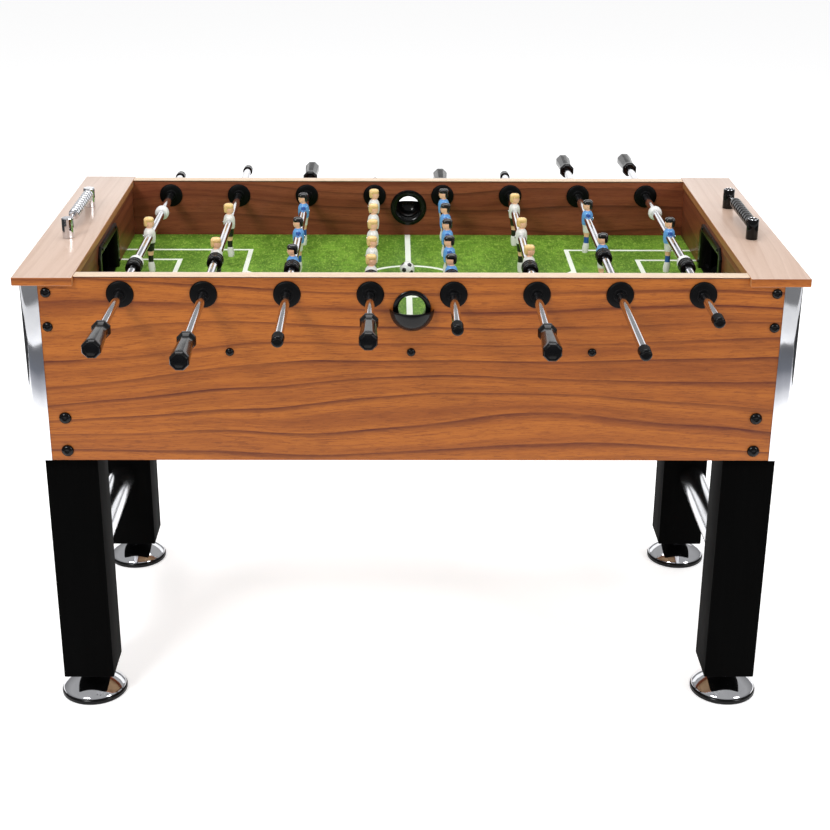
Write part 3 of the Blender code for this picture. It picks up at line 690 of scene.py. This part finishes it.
# %% Make the corner guards
for end_name, end in ENDS:
    for side_name, side in SIDES:
        node = f"{end_name}_{side_name}_corner_guard"
        low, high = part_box(node)
        guard = block(node + "_plate", low, high)
        open_up(guard)
        choose(guard, "FACE", lambda at, normal: abs(normal.z) > 0.9
               or normal.x * side < -0.9 or normal.y * end < -0.9)
        bpy.ops.mesh.delete(type="FACE")
        outer = max(abs(low.x), abs(high.x)) - 0.002
        choose(guard, "EDGE", lambda at, way: abs(way.z) > 0.9 and at.x * side > outer
               and abs(at.y) > 0.35)
        bpy.ops.mesh.bevel(offset=0.0090, segments=10, affect="EDGES")
        close(outward=True)
        apply(guard, "SOLIDIFY", thickness=0.0012, offset=-1.0, use_even_offset=True)
        soften(guard, 0.0003, 2, 60)
        belongs(coat(guard, chrome), "table", "chrome", node)
print("four corner guards made")

# %% [markdown]
# ## Rod bearings
# A bearing is two black flanges joined by a sleeve through the board, with a raised lip
# round the rod. The outline is drawn as a ring that comes back to where it started, so the
# bore is open. It is made once and copied to all sixteen places.

# %% Make the bearings
bearing = grow("bearing", [
    (-0.0060, 0.0083), (-0.0060, 0.0112), (-0.0056, 0.0118), (-0.0050, 0.0122),
    (-0.0044, 0.0212), (-0.0036, 0.0228), (-0.0022, 0.0238), (-0.0002, 0.0240),
    (-0.0002, 0.0139), (0.0222, 0.0139), (0.0222, 0.0240), (0.0242, 0.0238),
    (0.0256, 0.0228), (0.0264, 0.0212), (0.0270, 0.0122), (0.0276, 0.0118),
    (0.0280, 0.0112), (0.0280, 0.0083), (-0.0060, 0.0083)], 40, ring=True)
smooth(coat(bearing, black), 40)
for n, x in enumerate(ROD_X, 1):
    for name, end in ENDS:
        copy = again(bearing, f"{name}_bearing_{n}", (x, end * FACE, ROD_Z), INWARD[end])
        belongs(copy, "table", "black_plastic")
discard(bearing)
print(2 * len(ROD_X), "bearings made")

# %% [markdown]
# ## Ball entries
# The ball is dropped through a lined hole in either long board. Outside, half a bowl is
# fixed under the hole to hold the ball. The lining is another closed ring, and the bowl is a
# squashed sphere cut in half twice by bisect and then thickened.

# %% Make the ball entries
BOWL_HALF_SIZE = (0.0390, 0.0320, 0.0390)
for name, end in ENDS:
    lining = grow(name + "_entry", [
        (-0.0030, 0.0262), (-0.0030, 0.0318), (-0.0022, 0.0328), (-0.0004, 0.0330),
        (-0.0004, 0.0270), (0.0224, 0.0270), (0.0224, 0.0380), (0.0240, 0.0380),
        (0.0250, 0.0372), (0.0256, 0.0340), (0.0256, 0.0300), (0.0240, 0.0262),
        (0.0215, 0.0240), (0.0180, 0.0235), (0.0020, 0.0235), (-0.0010, 0.0242),
        (-0.0030, 0.0262)], 56, ring=True)
    place(coat(lining, gloss_black), (0, end * (FACE + 0.0002), ENTRY_Z), INWARD[end])
    take()
    bpy.ops.mesh.primitive_uv_sphere_add(segments=48, ring_count=28, radius=1.0)
    bowl = named(name + "_bowl")
    place(bowl)
    bowl.scale = BOWL_HALF_SIZE
    rim_y = end * (FACE + 0.0034)
    place(bowl, (0, rim_y, ENTRY_Z))
    open_up(bowl)
    for point, away in (((0, 0, ENTRY_Z), (0, 0, 1)), ((0, rim_y, 0), (0, -end, 0))):
        everything()
        bpy.ops.mesh.bisect(plane_co=point, plane_no=away, clear_outer=True)
    close(outward=True)
    apply(bowl, "SOLIDIFY", thickness=0.0026, offset=-1.0)
    coat(soften(bowl, 0.0007, 3, 50), gloss_black)
    smooth(join(lining, bowl), 40)
    belongs(lining, "table", "black_plastic", name + "_ball_entry")
print("two ball entries made")

# %% [markdown]
# ## Goals and ball returns
# A goal is a moulded frame with its two upper corners cut off, fixed to the inner wall by
# four small screws. Behind it a black tray catches the ball, and a hand reaches it through
# the end board. Both have the right shape already, so they get moulded edges and screws.

# %% Make the goals and their screws, and the ball returns
screw = grow("screw", [(0.0, 0.0034), (0.0008, 0.0034), (0.0016, 0.0027), (0.0020, 0.0014),
                       (0.0014, 0.0012), (0.0014, 0.0004)], 20)
smooth(coat(screw, bolt_black), 50)
GOAL_SCREWS = ((-0.095, 0.760), (0.095, 0.760), (-0.076, 0.8325), (0.076, 0.8325))
SCREW_INSET = 0.006                 # from the edges of a ball return
for name, side in SIDES:
    dress(name + "_goal", name + "_goal_frame", goal_black, "black_plastic", 0.0011, 3)
    dress(name + "_ball_return", name + "_return", black, "black_plastic", 0.0012, 3)
    face = min(abs(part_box(name + "_goal")[i].x) for i in (0, 1))
    for n, (y, z) in enumerate(GOAL_SCREWS, 1):
        turn = (0, -side * math.pi / 2, 0)
        copy = again(screw, f"{name}_goal_screw_{n}", (side * (face - 0.0001), y, z), turn)
        belongs(copy, "table", "bolt_black")
    rim = max(abs(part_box(name + "_ball_return")[i].x) for i in (0, 1))
    low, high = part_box(name + "_ball_return")
    for n, (y, z) in enumerate(((low.y, low.z), (high.y, low.z), (low.y, high.z),
                                (high.y, high.z)), 1):
        spot = (side * (rim + 0.0001), y - math.copysign(SCREW_INSET, y),
                z + (SCREW_INSET if z == low.z else -SCREW_INSET))
        copy = again(screw, f"{name}_return_screw_{n}", spot, (0, side * math.pi / 2, 0))
        belongs(copy, "table", "bolt_black")
discard(screw)
print("goals, returns and 16 screws made")

# %% [markdown]
# ## Domed bolts
# Black domed bolts with a socket hold the boards: two small ones at the top of each end, two
# big ones into each leg, and three on the middle line that hold the pitch.

# %% Make the bolts
dome = grow("dome", [(0.0, 0.95), (0.10, 1.0), (0.22, 0.97), (0.40, 0.84), (0.54, 0.62),
                     (0.60, 0.40), (0.60, 0.34), (0.40, 0.30), (0.36, 0.10)], 32)
smooth(coat(dome, bolt_black), 50)
# Each is a radius, an X that is mirrored, and a height.
BOLTS = [(0.0090, 0.631, 0.835), (0.0090, 0.632, 0.773), (0.0110, 0.6145, 0.602),
         (0.0110, 0.615, 0.539)]
spots = [(r, side * x, z) for r, x, z in BOLTS for side in (-1, 1)]
spots += [(0.0076, x, 0.727) for x in (-0.318, -0.001, 0.316)]
for n, (radius, x, z) in enumerate(spots, 1):
    for name, end in ENDS:
        bolt = again(dome, f"{name}_bolt_{n}")
        bolt.scale = (radius, radius, radius)
        place(bolt, turn=INWARD[-end])
        place(bolt, (x, end * FACE, z))
        belongs(bolt, "table", "bolt_black")
discard(dome)
print(2 * len(spots), "bolts made")

# %% [markdown]
# ## Legs, feet and leg tubes
# The legs are square black boxes. Each stands on a broad levelling foot: a rubber rim, a
# shallow chrome dish that mirrors the leg, and a hub with a lock nut. One thick chrome tube
# joins the two legs at each end.

# %% Make the legs and leg tubes
for corner in CORNERS:
    dress(corner + "_leg", corner + "_leg_box", leg_black, "black_laminate", 0.0020, 3)
for side, _ in SIDES:
    low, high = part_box(side + "_leg_tube")
    radius, middle = (high.z - low.z) / 2, (low + high) / 2
    half = (high.y - low.y) / 2
    tube = grow(side + "_tube", [(-half, radius - 0.0015), (-half + 0.0015, radius),
                                 (half - 0.0015, radius), (half, radius - 0.0015)], 56)
    place(coat(tube, tube_chrome), (middle.x, 0, middle.z), ALONG_Y)
    belongs(smooth(tube), "table", "chrome", side + "_leg_tube")
print("legs and tubes made")

# %% Make the levelling feet
dish = grow("dish", [(0.0100, 0.0590), (0.0118, 0.0606), (0.0130, 0.0600), (0.0150, 0.0585),
                     (0.0210, 0.0500), (0.0265, 0.0410), (0.0310, 0.0320), (0.0345, 0.0240),
                     (0.0370, 0.0180), (0.0380, 0.0150), (0.0380, 0.0100)], 64)
rim = grow("rim", [(0.0, 0.0590), (0.0006, 0.0615), (0.0020, 0.0628), (0.0070, 0.0630),
                   (0.0090, 0.0622), (0.0104, 0.0604), (0.0106, 0.0570)], 64)
hub = grow("hub", [(0.0380, 0.0130), (0.0405, 0.0142), (0.0490, 0.0142), (0.0500, 0.0136),
                   (0.0536, 0.0136), (0.0536, 0.0052), (0.0900, 0.0048), (0.1030, 0.0044)],
           6)
for piece, finish in ((dish, chrome), (rim, rubber), (hub, chrome)):
    smooth(coat(piece, finish), 32)
foot = join(dish, rim, hub)
for corner in CORNERS:
    low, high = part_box(corner + "_leveler")
    middle = (low + high) / 2
    copy = again(foot, corner + "_level_foot", (middle.x, middle.y, 0))
    belongs(copy, corner + "_foot", "chrome", corner + "_leveler")
discard(foot)
print("four levelling feet made")

# %% [markdown]
# ## Scorers
# On each top board ten beads slide on a thin wire between two posts: chrome posts with
# silvered beads on the left, and all black on the right, where a grey ring and a dimple
# close each post. One post of each kind and one bead are grown and copied, and the beads
# ride on the counter body so that they slide together.

# %% Make the scorers
WIRE_Z, BEAD_LENGTH, POST_RADIUS = 0.892, 0.015, 0.011
chrome_post = grow("chrome_post", [
    (0.0003, 0.0108), (0.0006, 0.0110), (0.0364, 0.0110), (0.0376, 0.0105),
    (0.0380, 0.0094), (0.0380, 0.0030)], 16)
black_post = grow("black_post", [
    (0.0003, 0.0108), (0.0006, 0.0110), (0.0366, 0.0110), (0.0378, 0.0104),
    (0.0382, 0.0092), (0.0382, 0.0072), (0.0362, 0.0060), (0.0356, 0.0020)], 40)
ring = grow("ring", [(0.0380, 0.0078), (0.0380, 0.0094), (0.0385, 0.0092), (0.0385, 0.0080),
                     (0.0380, 0.0078)], 40, ring=True)
bead = grow("bead", [(0.0002, 0.0029), (0.0002, 0.0076), (0.0008, 0.0090), (0.0022, 0.0103),
                     (0.0036, 0.0105), (0.0112, 0.0105), (0.0128, 0.0103),
                     (0.0142, 0.0090), (0.0148, 0.0076), (0.0148, 0.0029),
                     (0.0002, 0.0029)], 32, ring=True)
smooth(coat(chrome_post, chrome), 15)
coat(black_post, gloss_black)
coat(ring, silver)
for piece in (black_post, ring, bead):
    smooth(piece, 40)
black_post = join(black_post, ring)
for name, post, pearl, slot in (("left", chrome_post, silver, "silver_bead"),
                                ("right", black_post, gloss_black, "black_plastic")):
    low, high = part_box(name + "_scorer_rail")
    x = (low.x + high.x) / 2
    posts = [again(post, f"{name}_post_{label}", (x, y, CAP_HIGH.z))
             for label, y in (("front", low.y + POST_RADIUS),
                              ("rear", high.y - POST_RADIUS))]
    wire = grow(name + "_wire", [(low.y + 0.016, 0.0025), (high.y - 0.016, 0.0025)], 20)
    place(coat(wire, chrome), (x, 0, WIRE_Z), ALONG_Y)
    rail = join(posts[0], posts[1], smooth(wire, 40))
    rail.name = rail.data.name = name + "_score_rail"
    belongs(rail, "table", "chrome" if name == "left" else "black_plastic",
            name + "_scorer_rail")
    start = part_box(name + "_scorer_beads")[0].y
    for n in range(10):
        copy = again(bead, f"{name}_bead_{n + 1}", (x, start + BEAD_LENGTH * n, WIRE_Z),
                     ALONG_Y)
        belongs(coat(copy, pearl), name + "_counter", slot)
        if n == 0:
            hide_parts(name + "_scorer_beads")
discard(chrome_post, black_post, bead)
print("two scorers with ten beads each made")

# %% [markdown]
# ## The moulded players
# A player is a small moulded figure: a square boot to hit the ball, one thick leg, shorts, a
# shirt that closes round the rod, arms held down, and a plain round head with a cap of hair.
# The body grows section by section. Head, hair and arms are added as closed shapes, and a
# subdivision rounds them.

# %% Make the paints of the two kits
def painted(name, colour, shade, roughness=0.3):
    finish = Finish(name, Coat_Weight=0.22, Coat_Roughness=0.08)
    mottle = finish.grain(210.0, 210.0, 210.0)
    brush = finish.grain(900.0, 900.0, 300.0, 2.0)
    finish.set(Base_Color=finish.blend(mottle, colour, shade),
               Roughness=roughness + (mottle - 0.5) * 0.2)
    finish.bump(brush, 0.12, 0.0002)
    return finish


skin = painted("skin", tone(252, 206, 170), tone(242, 182, 142))
blond = painted("hair_blond", tone(250, 220, 156), tone(220, 172, 96), 0.35)
dark_hair = painted("hair_black", tone(8, 8, 9), tone(20, 19, 20), 0.2)
shirt_white = painted("shirt_white", tone(248, 247, 242), tone(228, 226, 220))
shirt_blue = painted("shirt_blue", tone(126, 188, 242), tone(76, 142, 218), 0.22)
trim_blue = painted("trim_blue", tone(44, 96, 176), tone(30, 74, 148))
kit_black = painted("kit_black", tone(8, 8, 9), tone(18, 18, 19))
boot_white = painted("boot_white", tone(244, 243, 238), tone(222, 221, 216))
eye_dark = painted("eye_dark", tone(30, 24, 22), tone(44, 36, 32), 0.2)
print("kits painted")

# %% Model one player, with the rod's axis at the origin and the face towards +X
BODY = [(-0.0710, 0.0050, 0.0056, 0.0012), (-0.0704, 0.0058, 0.0062, 0.0012),
        (-0.0650, 0.0068, 0.0064, 0.0012), (-0.0600, 0.0068, 0.0064, 0.0008),
        (-0.0560, 0.0064, 0.0062, 0.0003), (-0.0520, 0.0057, 0.0058, 0.0000),
        (-0.0505, 0.0050, 0.0054, 0.0000), (-0.0470, 0.0050, 0.0054, -0.0001),
        (-0.0420, 0.0052, 0.0056, -0.0002), (-0.0370, 0.0050, 0.0056, 0.0000),
        (-0.0330, 0.0056, 0.0064, 0.0002), (-0.0290, 0.0064, 0.0072, 0.0002),
        (-0.0284, 0.0072, 0.0084, 0.0001), (-0.0260, 0.0076, 0.0088, 0.0001),
        (-0.0190, 0.0082, 0.0094, 0.0000), (-0.0135, 0.0090, 0.0098, -0.0001),
        (-0.0125, 0.0104, 0.0102, -0.0001), (-0.0070, 0.0112, 0.0102, 0.0000),
        (0.0000, 0.0117, 0.0103, 0.0000), (0.0070, 0.0116, 0.0108, 0.0000),
        (0.0120, 0.0104, 0.0108, 0.0000), (0.0156, 0.0076, 0.0084, 0.0000),
        (0.0174, 0.0052, 0.0054, 0.0000), (0.0186, 0.0046, 0.0046, 0.0004),
        (0.0215, 0.0046, 0.0046, 0.0006)]
ARM = [(0.0122, 0.0030, 0.0012), (0.0112, 0.0046, 0.0018), (0.0060, 0.0050, 0.0019),
       (0.0020, 0.0046, 0.0018), (0.0016, 0.0038, 0.0016), (-0.0050, 0.0034, 0.0015),
       (-0.0090, 0.0036, 0.0016), (-0.0110, 0.0020, 0.0009)]
WAIST, KNEE, SOCK_TOP, ANKLE, COLLAR = -0.0129, -0.0285, -0.0390, -0.0507, 0.0180
# The head and the hair are half lengths along X, Y and Z, then a middle. They start as
# cubes, so the subdivision keeps them boxy.
FACE_BOX = ((0.0078, 0.0066, 0.0086), (0.0012, 0, 0.0268))
CROWN_BOX = ((0.0092, 0.0076, 0.0058), (0.0, 0, 0.0328))
NAPE_BOX = ((0.0042, 0.0072, 0.0082), (-0.0054, 0, 0.0286))


def ball_shape(name, radii, at, segments=20, rings=14):
    take()
    bpy.ops.mesh.primitive_uv_sphere_add(segments=segments, ring_count=rings, radius=1.0,
                                         location=at, scale=radii)
    return smooth(named(name), 80)


def boxy(name, half, middle, swell=1.16):
    """A cube rounded by subdivision, swollen so that it keeps its size."""
    shape = block(name, [m - swell * h for m, h in zip(middle, half)],
                  [m + swell * h for m, h in zip(middle, half)])
    soften(shape, min(half) * 0.7, 1)
    return smooth(apply(shape, "SUBSURF", levels=2, render_levels=2), 80)


def colour_in(piece, *bands):
    """Each band is (finish, test), and a later band paints over an earlier one."""
    for finish, test in bands:
        coat(piece, finish)
        for face in piece.data.polygons:
            if test is None or test(face.center):
                face.material_index = len(piece.data.materials) - 1
    return piece


def player(name, hair, shirt, sleeve, shorts, sock):
    body = grow(name, BODY, 20)
    open_up(body)
    choose(body, "EDGE", lambda at, way: abs(at.z - BODY[0][0]) < 0.0001)
    bpy.ops.mesh.bevel(offset=0.0006, segments=2, affect="EDGES")
    close()
    colour_in(body, (shirt, None), (shorts, lambda c: c.z < WAIST),
              (skin, lambda c: c.z < KNEE), (sock, lambda c: c.z < SOCK_TOP),
              (boot_white, lambda c: c.z < ANKLE), (skin, lambda c: c.z > COLLAR))
    smooth(apply(body, "SUBSURF", levels=1, render_levels=1), 50)
    shapes = []
    for side in (-1, 1):
        arm = grow("arm", [(z, x, y) for z, x, y in ARM], 12)
        colour_in(arm, (sleeve, None), (skin, lambda c: c.z < 0.0018))
        place(arm, (-0.0002, side * 0.0101, 0), (0, 0, 0))
        smooth(apply(arm, "SUBSURF", levels=1, render_levels=1), 60)
        shapes.append(arm)
        shapes.append(colour_in(ball_shape("ear", (0.0015, 0.0011, 0.0021),
                                           (0.0006, side * 0.0067, 0.0262), 10, 8),
                                (skin, None)))
        shapes.append(colour_in(ball_shape("eye", (0.0006, 0.0009, 0.0009),
                                           (0.0086, side * 0.0027, 0.0276), 8, 6),
                                (eye_dark, None)))
    shapes.append(colour_in(boxy("face", *FACE_BOX), (skin, None)))
    nose = ball_shape("nose", (0.0014, 0.0010, 0.0017), (0.0089, 0, 0.0252), 10, 8)
    shapes.append(colour_in(nose, (skin, None)))
    for label, half, middle in (("crown", *CROWN_BOX), ("nape", *NAPE_BOX)):
        locks = boxy(label, half, middle, 1.10)
        for corner in locks.data.vertices:
            turn = math.atan2(corner.co.y, corner.co.x)
            wave = 1 + 0.03 * math.sin(11 * turn + 500 * corner.co.z)
            corner.co.y *= wave
            corner.co.x *= wave
        shapes.append(colour_in(locks, (hair, None)))
    pin = grow("pin", [(0.0, 0.0030), (0.0008, 0.0030), (0.0012, 0.0022), (0.0007, 0.0012)],
               16)
    place(pin, (-0.0115, 0, 0), (0, -math.pi / 2, 0))
    shapes.append(colour_in(smooth(pin, 50), (rod_plate, None)))
    figure = join(body, *shapes)
    print(name, len(figure.data.polygons), "faces,",
          round(1000 * figure.dimensions.z, 1), "mm tall")
    return figure


white_player = player("white_player", blond, shirt_white, shirt_white, kit_black, kit_black)
blue_player = player("blue_player", dark_hair, shirt_blue, trim_blue, boot_white, trim_blue)

# %% [markdown]
# ## Bumpers, collars, caps and handles
# These round fittings are each grown once. The bumper is ribbed rubber, the goalkeepers'
# rods have a round white stop collar on each side, a soft cap closes the bare end, and the
# handle is an eight-sided grip: a flared collar, a waist, and a body that widens to a flat
# bevelled end. Eight sides and a small bevel give its hard bright facets.

# %% Make the fittings of the rods
bumper = grow("bumper", [
    (0.0002, 0.0083), (0.0002, 0.0136), (0.0010, 0.0146), (0.0024, 0.0150),
    (0.0060, 0.0150), (0.0072, 0.0144), (0.0078, 0.0128), (0.0092, 0.0126),
    (0.0098, 0.0142), (0.0110, 0.0148), (0.0160, 0.0148), (0.0172, 0.0142),
    (0.0178, 0.0126), (0.0192, 0.0124), (0.0198, 0.0140), (0.0210, 0.0145),
    (0.0268, 0.0144), (0.0284, 0.0136), (0.0294, 0.0122), (0.0298, 0.0083),
    (0.0002, 0.0083)], 40, ring=True)
collar = grow("collar", [
    (-0.0100, 0.0079), (-0.0100, 0.0098), (-0.0092, 0.0112), (-0.0070, 0.0130),
    (-0.0038, 0.0139), (0.0, 0.0140), (0.0038, 0.0139), (0.0070, 0.0130),
    (0.0092, 0.0112), (0.0100, 0.0098), (0.0100, 0.0079), (-0.0100, 0.0079)], 40, ring=True)
end_cap = grow("end_cap", [
    (0.0, 0.0079), (0.0, 0.0098), (0.0008, 0.0105), (0.0045, 0.0105), (0.0055, 0.0101),
    (0.0215, 0.0100), (0.0238, 0.0092), (0.0248, 0.0078), (0.0250, 0.0050)], 32)
for piece, finish in ((bumper, rubber), (collar, white_plastic), (end_cap, rubber)):
    smooth(coat(piece, finish), 40)

grip = grow("grip", [
    (0.0, 0.0084), (0.0, 0.0136), (0.0016, 0.0150), (0.0050, 0.0166), (0.0105, 0.0168),
    (0.0150, 0.0152), (0.0180, 0.0130), (0.0230, 0.0124), (0.0320, 0.0130),
    (0.0600, 0.0146), (0.0880, 0.0160), (0.0960, 0.0165), (0.1010, 0.0165),
    (0.1040, 0.0148), (0.1050, 0.0140), (0.1046, 0.0100), (0.1042, 0.0040)], 8)
place(coat(grip, gloss_black), turn=(0, 0, math.radians(22.5)))
soften(grip, 0.0008, 2, 20)
print("fittings made, the grip has", len(grip.data.polygons), "faces")

# %% [markdown]
# ## The rods
# A rod is a plated tube. Everything fixed on it turns and slides with it, so those pieces
# ride on the rod's spinning body, and only the loose front bumper rides on the carriage.
# The frame says where each rod, handle and bumper rests, and the players are set out from
# the middle of the rod by their spacing.

# %% Set out the eight rods
# Each rod's players, the way they face along X, and their spacing.
TEAMS = [(1, 1, 0.0), (2, 1, 0.246), (3, -1, 0.188), (5, 1, 0.118), (5, -1, 0.118),
         (3, 1, 0.188), (2, -1, 0.246), (1, -1, 0.0)]
HALF_MAN, KEEPER_REACH, COLLAR_REACH = 0.012, 0.187, 0.177
CAP_LENGTH, IN_CAP, IN_GRIP = 0.025, 0.020, 0.006      # the tube stops short in both
TUBE_RADIUS, TUBE_TIP = 0.0079, 0.0072
for n, (men, way, spacing) in enumerate(TEAMS, 1):
    x, spin, carriage = ROD_X[n - 1], f"rod_{n}_spinner", f"rod_{n}_carriage"
    low, high = (corner.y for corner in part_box(f"rod_{n}"))
    g_low, g_high = (corner.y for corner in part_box(f"rod_{n}_handle"))
    side = -1 if g_low < 0 else 1       # the side that the handle is on
    if side < 0:
        tube_low, tube_high = low + IN_GRIP, high - IN_CAP
        cap_y, grip_y = high - CAP_LENGTH, g_high
    else:
        tube_low, tube_high = low + IN_CAP, high - IN_GRIP
        cap_y, grip_y = low + CAP_LENGTH, g_low
    tube = grow(f"rod_{n}_tube", [
        (tube_low, TUBE_TIP), (tube_low + 0.0008, TUBE_RADIUS),
        (tube_high - 0.0008, TUBE_RADIUS), (tube_high, TUBE_TIP)], 40)
    place(coat(tube, rod_plate), (x, 0, ROD_Z), ALONG_Y)
    belongs(smooth(tube), spin, "rod_steel", f"rod_{n}")
    belongs(again(end_cap, f"rod_{n}_end_cap", (x, cap_y, ROD_Z), INWARD[side]), spin,
            "rubber")
    belongs(again(grip, f"rod_{n}_grip", (x, grip_y, ROD_Z), INWARD[-side]), spin,
            "grip_black", f"rod_{n}_handle")
    reach = KEEPER_REACH if men == 1 else spacing * (men - 1) / 2 + HALF_MAN
    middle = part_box(f"rod_{n}_bumper")[1].y + FIT + reach
    belongs(again(bumper, f"rod_{n}_rubber", (x, middle - reach - FIT, ROD_Z),
                  ALONG_MINUS_Y), carriage, "rubber", f"rod_{n}_bumper")
    for label, end in ENDS if men == 1 else ():
        piece = again(collar, f"rod_{n}_{label}_collar",
                      (x, middle + end * COLLAR_REACH, ROD_Z), ALONG_Y)
        belongs(piece, spin, "player_white")
    figure = white_player if way > 0 else blue_player
    for man in range(men):
        y = middle + (man - (men - 1) / 2) * spacing
        copy = again(figure, f"rod_{n}_player_{man + 1}", (x, y, ROD_Z),
                     (0, 0, 0 if way > 0 else math.pi))
        belongs(copy, spin, "player_white" if way > 0 else "player_blue")
discard(white_player, blue_player, bumper, collar, end_cap, grip)
print("eight rods set out")

# %% [markdown]
# ## The ball
# A small football: twelve black five-sided patches and twenty white six-sided ones. A ball
# of twenty triangles whose corners are cut off has exactly those faces. Each face is inset
# along its seam, and a subdivision with a cast to a sphere makes the ball round.

# %% Make the ball
low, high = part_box("game_ball")
middle, radius = (low + high) / 2, (high.z - low.z) / 2
take()
bpy.ops.mesh.primitive_ico_sphere_add(subdivisions=1, radius=radius)
ball = named("ball")
open_up(ball)
bpy.ops.mesh.bevel(offset_type="PERCENT", offset_pct=33.3, affect="VERTICES")
close()
coat(ball, white_plastic, kit_black)
for face in ball.data.polygons:
    face.material_index = 1 if len(face.vertices) == 5 else 0
open_up(ball)
bpy.ops.mesh.inset(thickness=0.0004, depth=0.0, use_individual=True)
bpy.ops.mesh.subdivide(number_cuts=1)
close()
apply(ball, "SUBSURF", levels=2, render_levels=2, subdivision_type="SIMPLE")
apply(ball, "CAST", cast_type="SPHERE", factor=1.0, radius=radius - 0.0001,
      use_radius_as_size=False)
place(ball, turn=(math.radians(38), math.radians(8), math.radians(20)))
place(ball, middle)
belongs(smooth(ball, 60), "ball", "ball_white", "game_ball")
print("ball of", len(ball.data.polygons), "faces")

# %% [markdown]
# ## Floor and light
# A wide pale floor and soft lights on all sides, as in a catalogue studio. A soft light
# high on the left of the viewer models the grips and the rods, and a weaker one on the right
# fills in. A long low light behind the table puts bright edges on the grips and the rods.
# Grey cards lie on the floor around it, where only reflections see them, so that the chrome
# has something dark to mirror. The front card also glows, from dark grey far off to white near
# the table, so the chrome mirrors a painted reflection there, not a lamp.

# %% Make the floor and the lights
take()
bpy.ops.mesh.primitive_plane_add(size=90.0, location=(0, 0, -0.0005))
floor = named("floor")
paper = Finish("pale_floor", Roughness=0.85, Specular_IOR_Level=0.1,
               Emission_Color=(1.0, 1.0, 1.0, 1.0), Emission_Strength=0.55)
x, y, z = paper.position()
paper.set(Base_Color=paper.blend(paper.noise(x * 30.0, y * 30.0, 0.0, 3.0),
                                 tone(250, 250, 250), tone(246, 246, 247)))
coat(floor, paper)
# The front card glows with a grey-to-white gradient and only reflections see it: a painted
# reflection in the chrome.
glowing_reflection_card = Finish("card_grey", Roughness=0.9, Emission_Strength=0.55)
x, y, z = glowing_reflection_card.position()
fade = glowing_reflection_card.ramp((y + 3.9) / 2.6, (0.0, tone(74, 74, 76)), (0.6, tone(84, 87, 94)),
                   (0.8, tone(150, 151, 156)), (1.0, tone(250, 250, 250)))
glowing_reflection_card.set(Base_Color=fade, Emission_Color=fade)
dark = Finish("side_card_grey", Roughness=0.9)
dark.set(Base_Color=dark.blend(dark.grain(1.0, 1.0, 1.0), tone(30, 30, 32),
                               tone(44, 44, 46)))
for name, low, high, finish in (
        ("front_card", (-2.2, -3.9, 0.0), (2.2, -1.3, 0.004), glowing_reflection_card),
        ("left_card", (-7.0, -4.0, 0.0), (-2.3, 3.0, 0.004), dark),
        ("right_card", (2.3, -4.0, 0.0), (7.0, 3.0, 0.004), dark)):
    card = coat(block(name, low, high), finish)
    card.visible_camera = card.visible_diffuse = card.visible_shadow = False


def soft_light(name, at, towards, size, power):
    lamp = bpy.data.lights.new(name, "AREA")
    lamp.shape = "RECTANGLE"
    lamp.size, lamp.size_y = size
    lamp.energy = power
    holder = bpy.data.objects.new(name, lamp)
    bpy.context.scene.collection.objects.link(holder)
    holder.location = at
    holder.rotation_euler = (Vector(towards) - Vector(at)).to_track_quat("-Z", "Y").to_euler()


soft_light("key", (-2.2, -3.4, 3.6), (0, 0, 0.7), (1.4, 1.2), 108)
soft_light("fill", (3.0, -2.4, 2.4), (0, 0, 0.7), (1.0, 1.4), 42)
soft_light("top", (0.0, 0.6, 4.2), (0, 0, 0.6), (3.0, 2.0), 84)
soft_light("back", (0.2, 4.5, 1.5), (0, 0, 0.9), (6.0, 1.3), 24)
room = bpy.data.worlds.new("room")
bpy.context.scene.world = room
room.use_nodes = True
tree = room.node_tree
way = tree.nodes.new("ShaderNodeTexCoord")
split = tree.nodes.new("ShaderNodeSeparateXYZ")
ramp = tree.nodes.new("ShaderNodeValToRGB")
tree.links.new(way.outputs["Generated"], split.inputs[0])
tree.links.new(split.outputs[2], ramp.inputs[0])
ramp.color_ramp.elements[0].color = (0.50, 0.50, 0.51, 1.0)
ramp.color_ramp.elements[1].position = 0.55
ramp.color_ramp.elements[1].color = (1.0, 1.0, 1.0, 1.0)
tree.links.new(ramp.outputs[0], tree.nodes["Background"].inputs[0])
tree.nodes["Background"].inputs[1].default_value = 0.44
bpy.context.scene.view_settings.view_transform = "Standard"
print("floor and lights made")
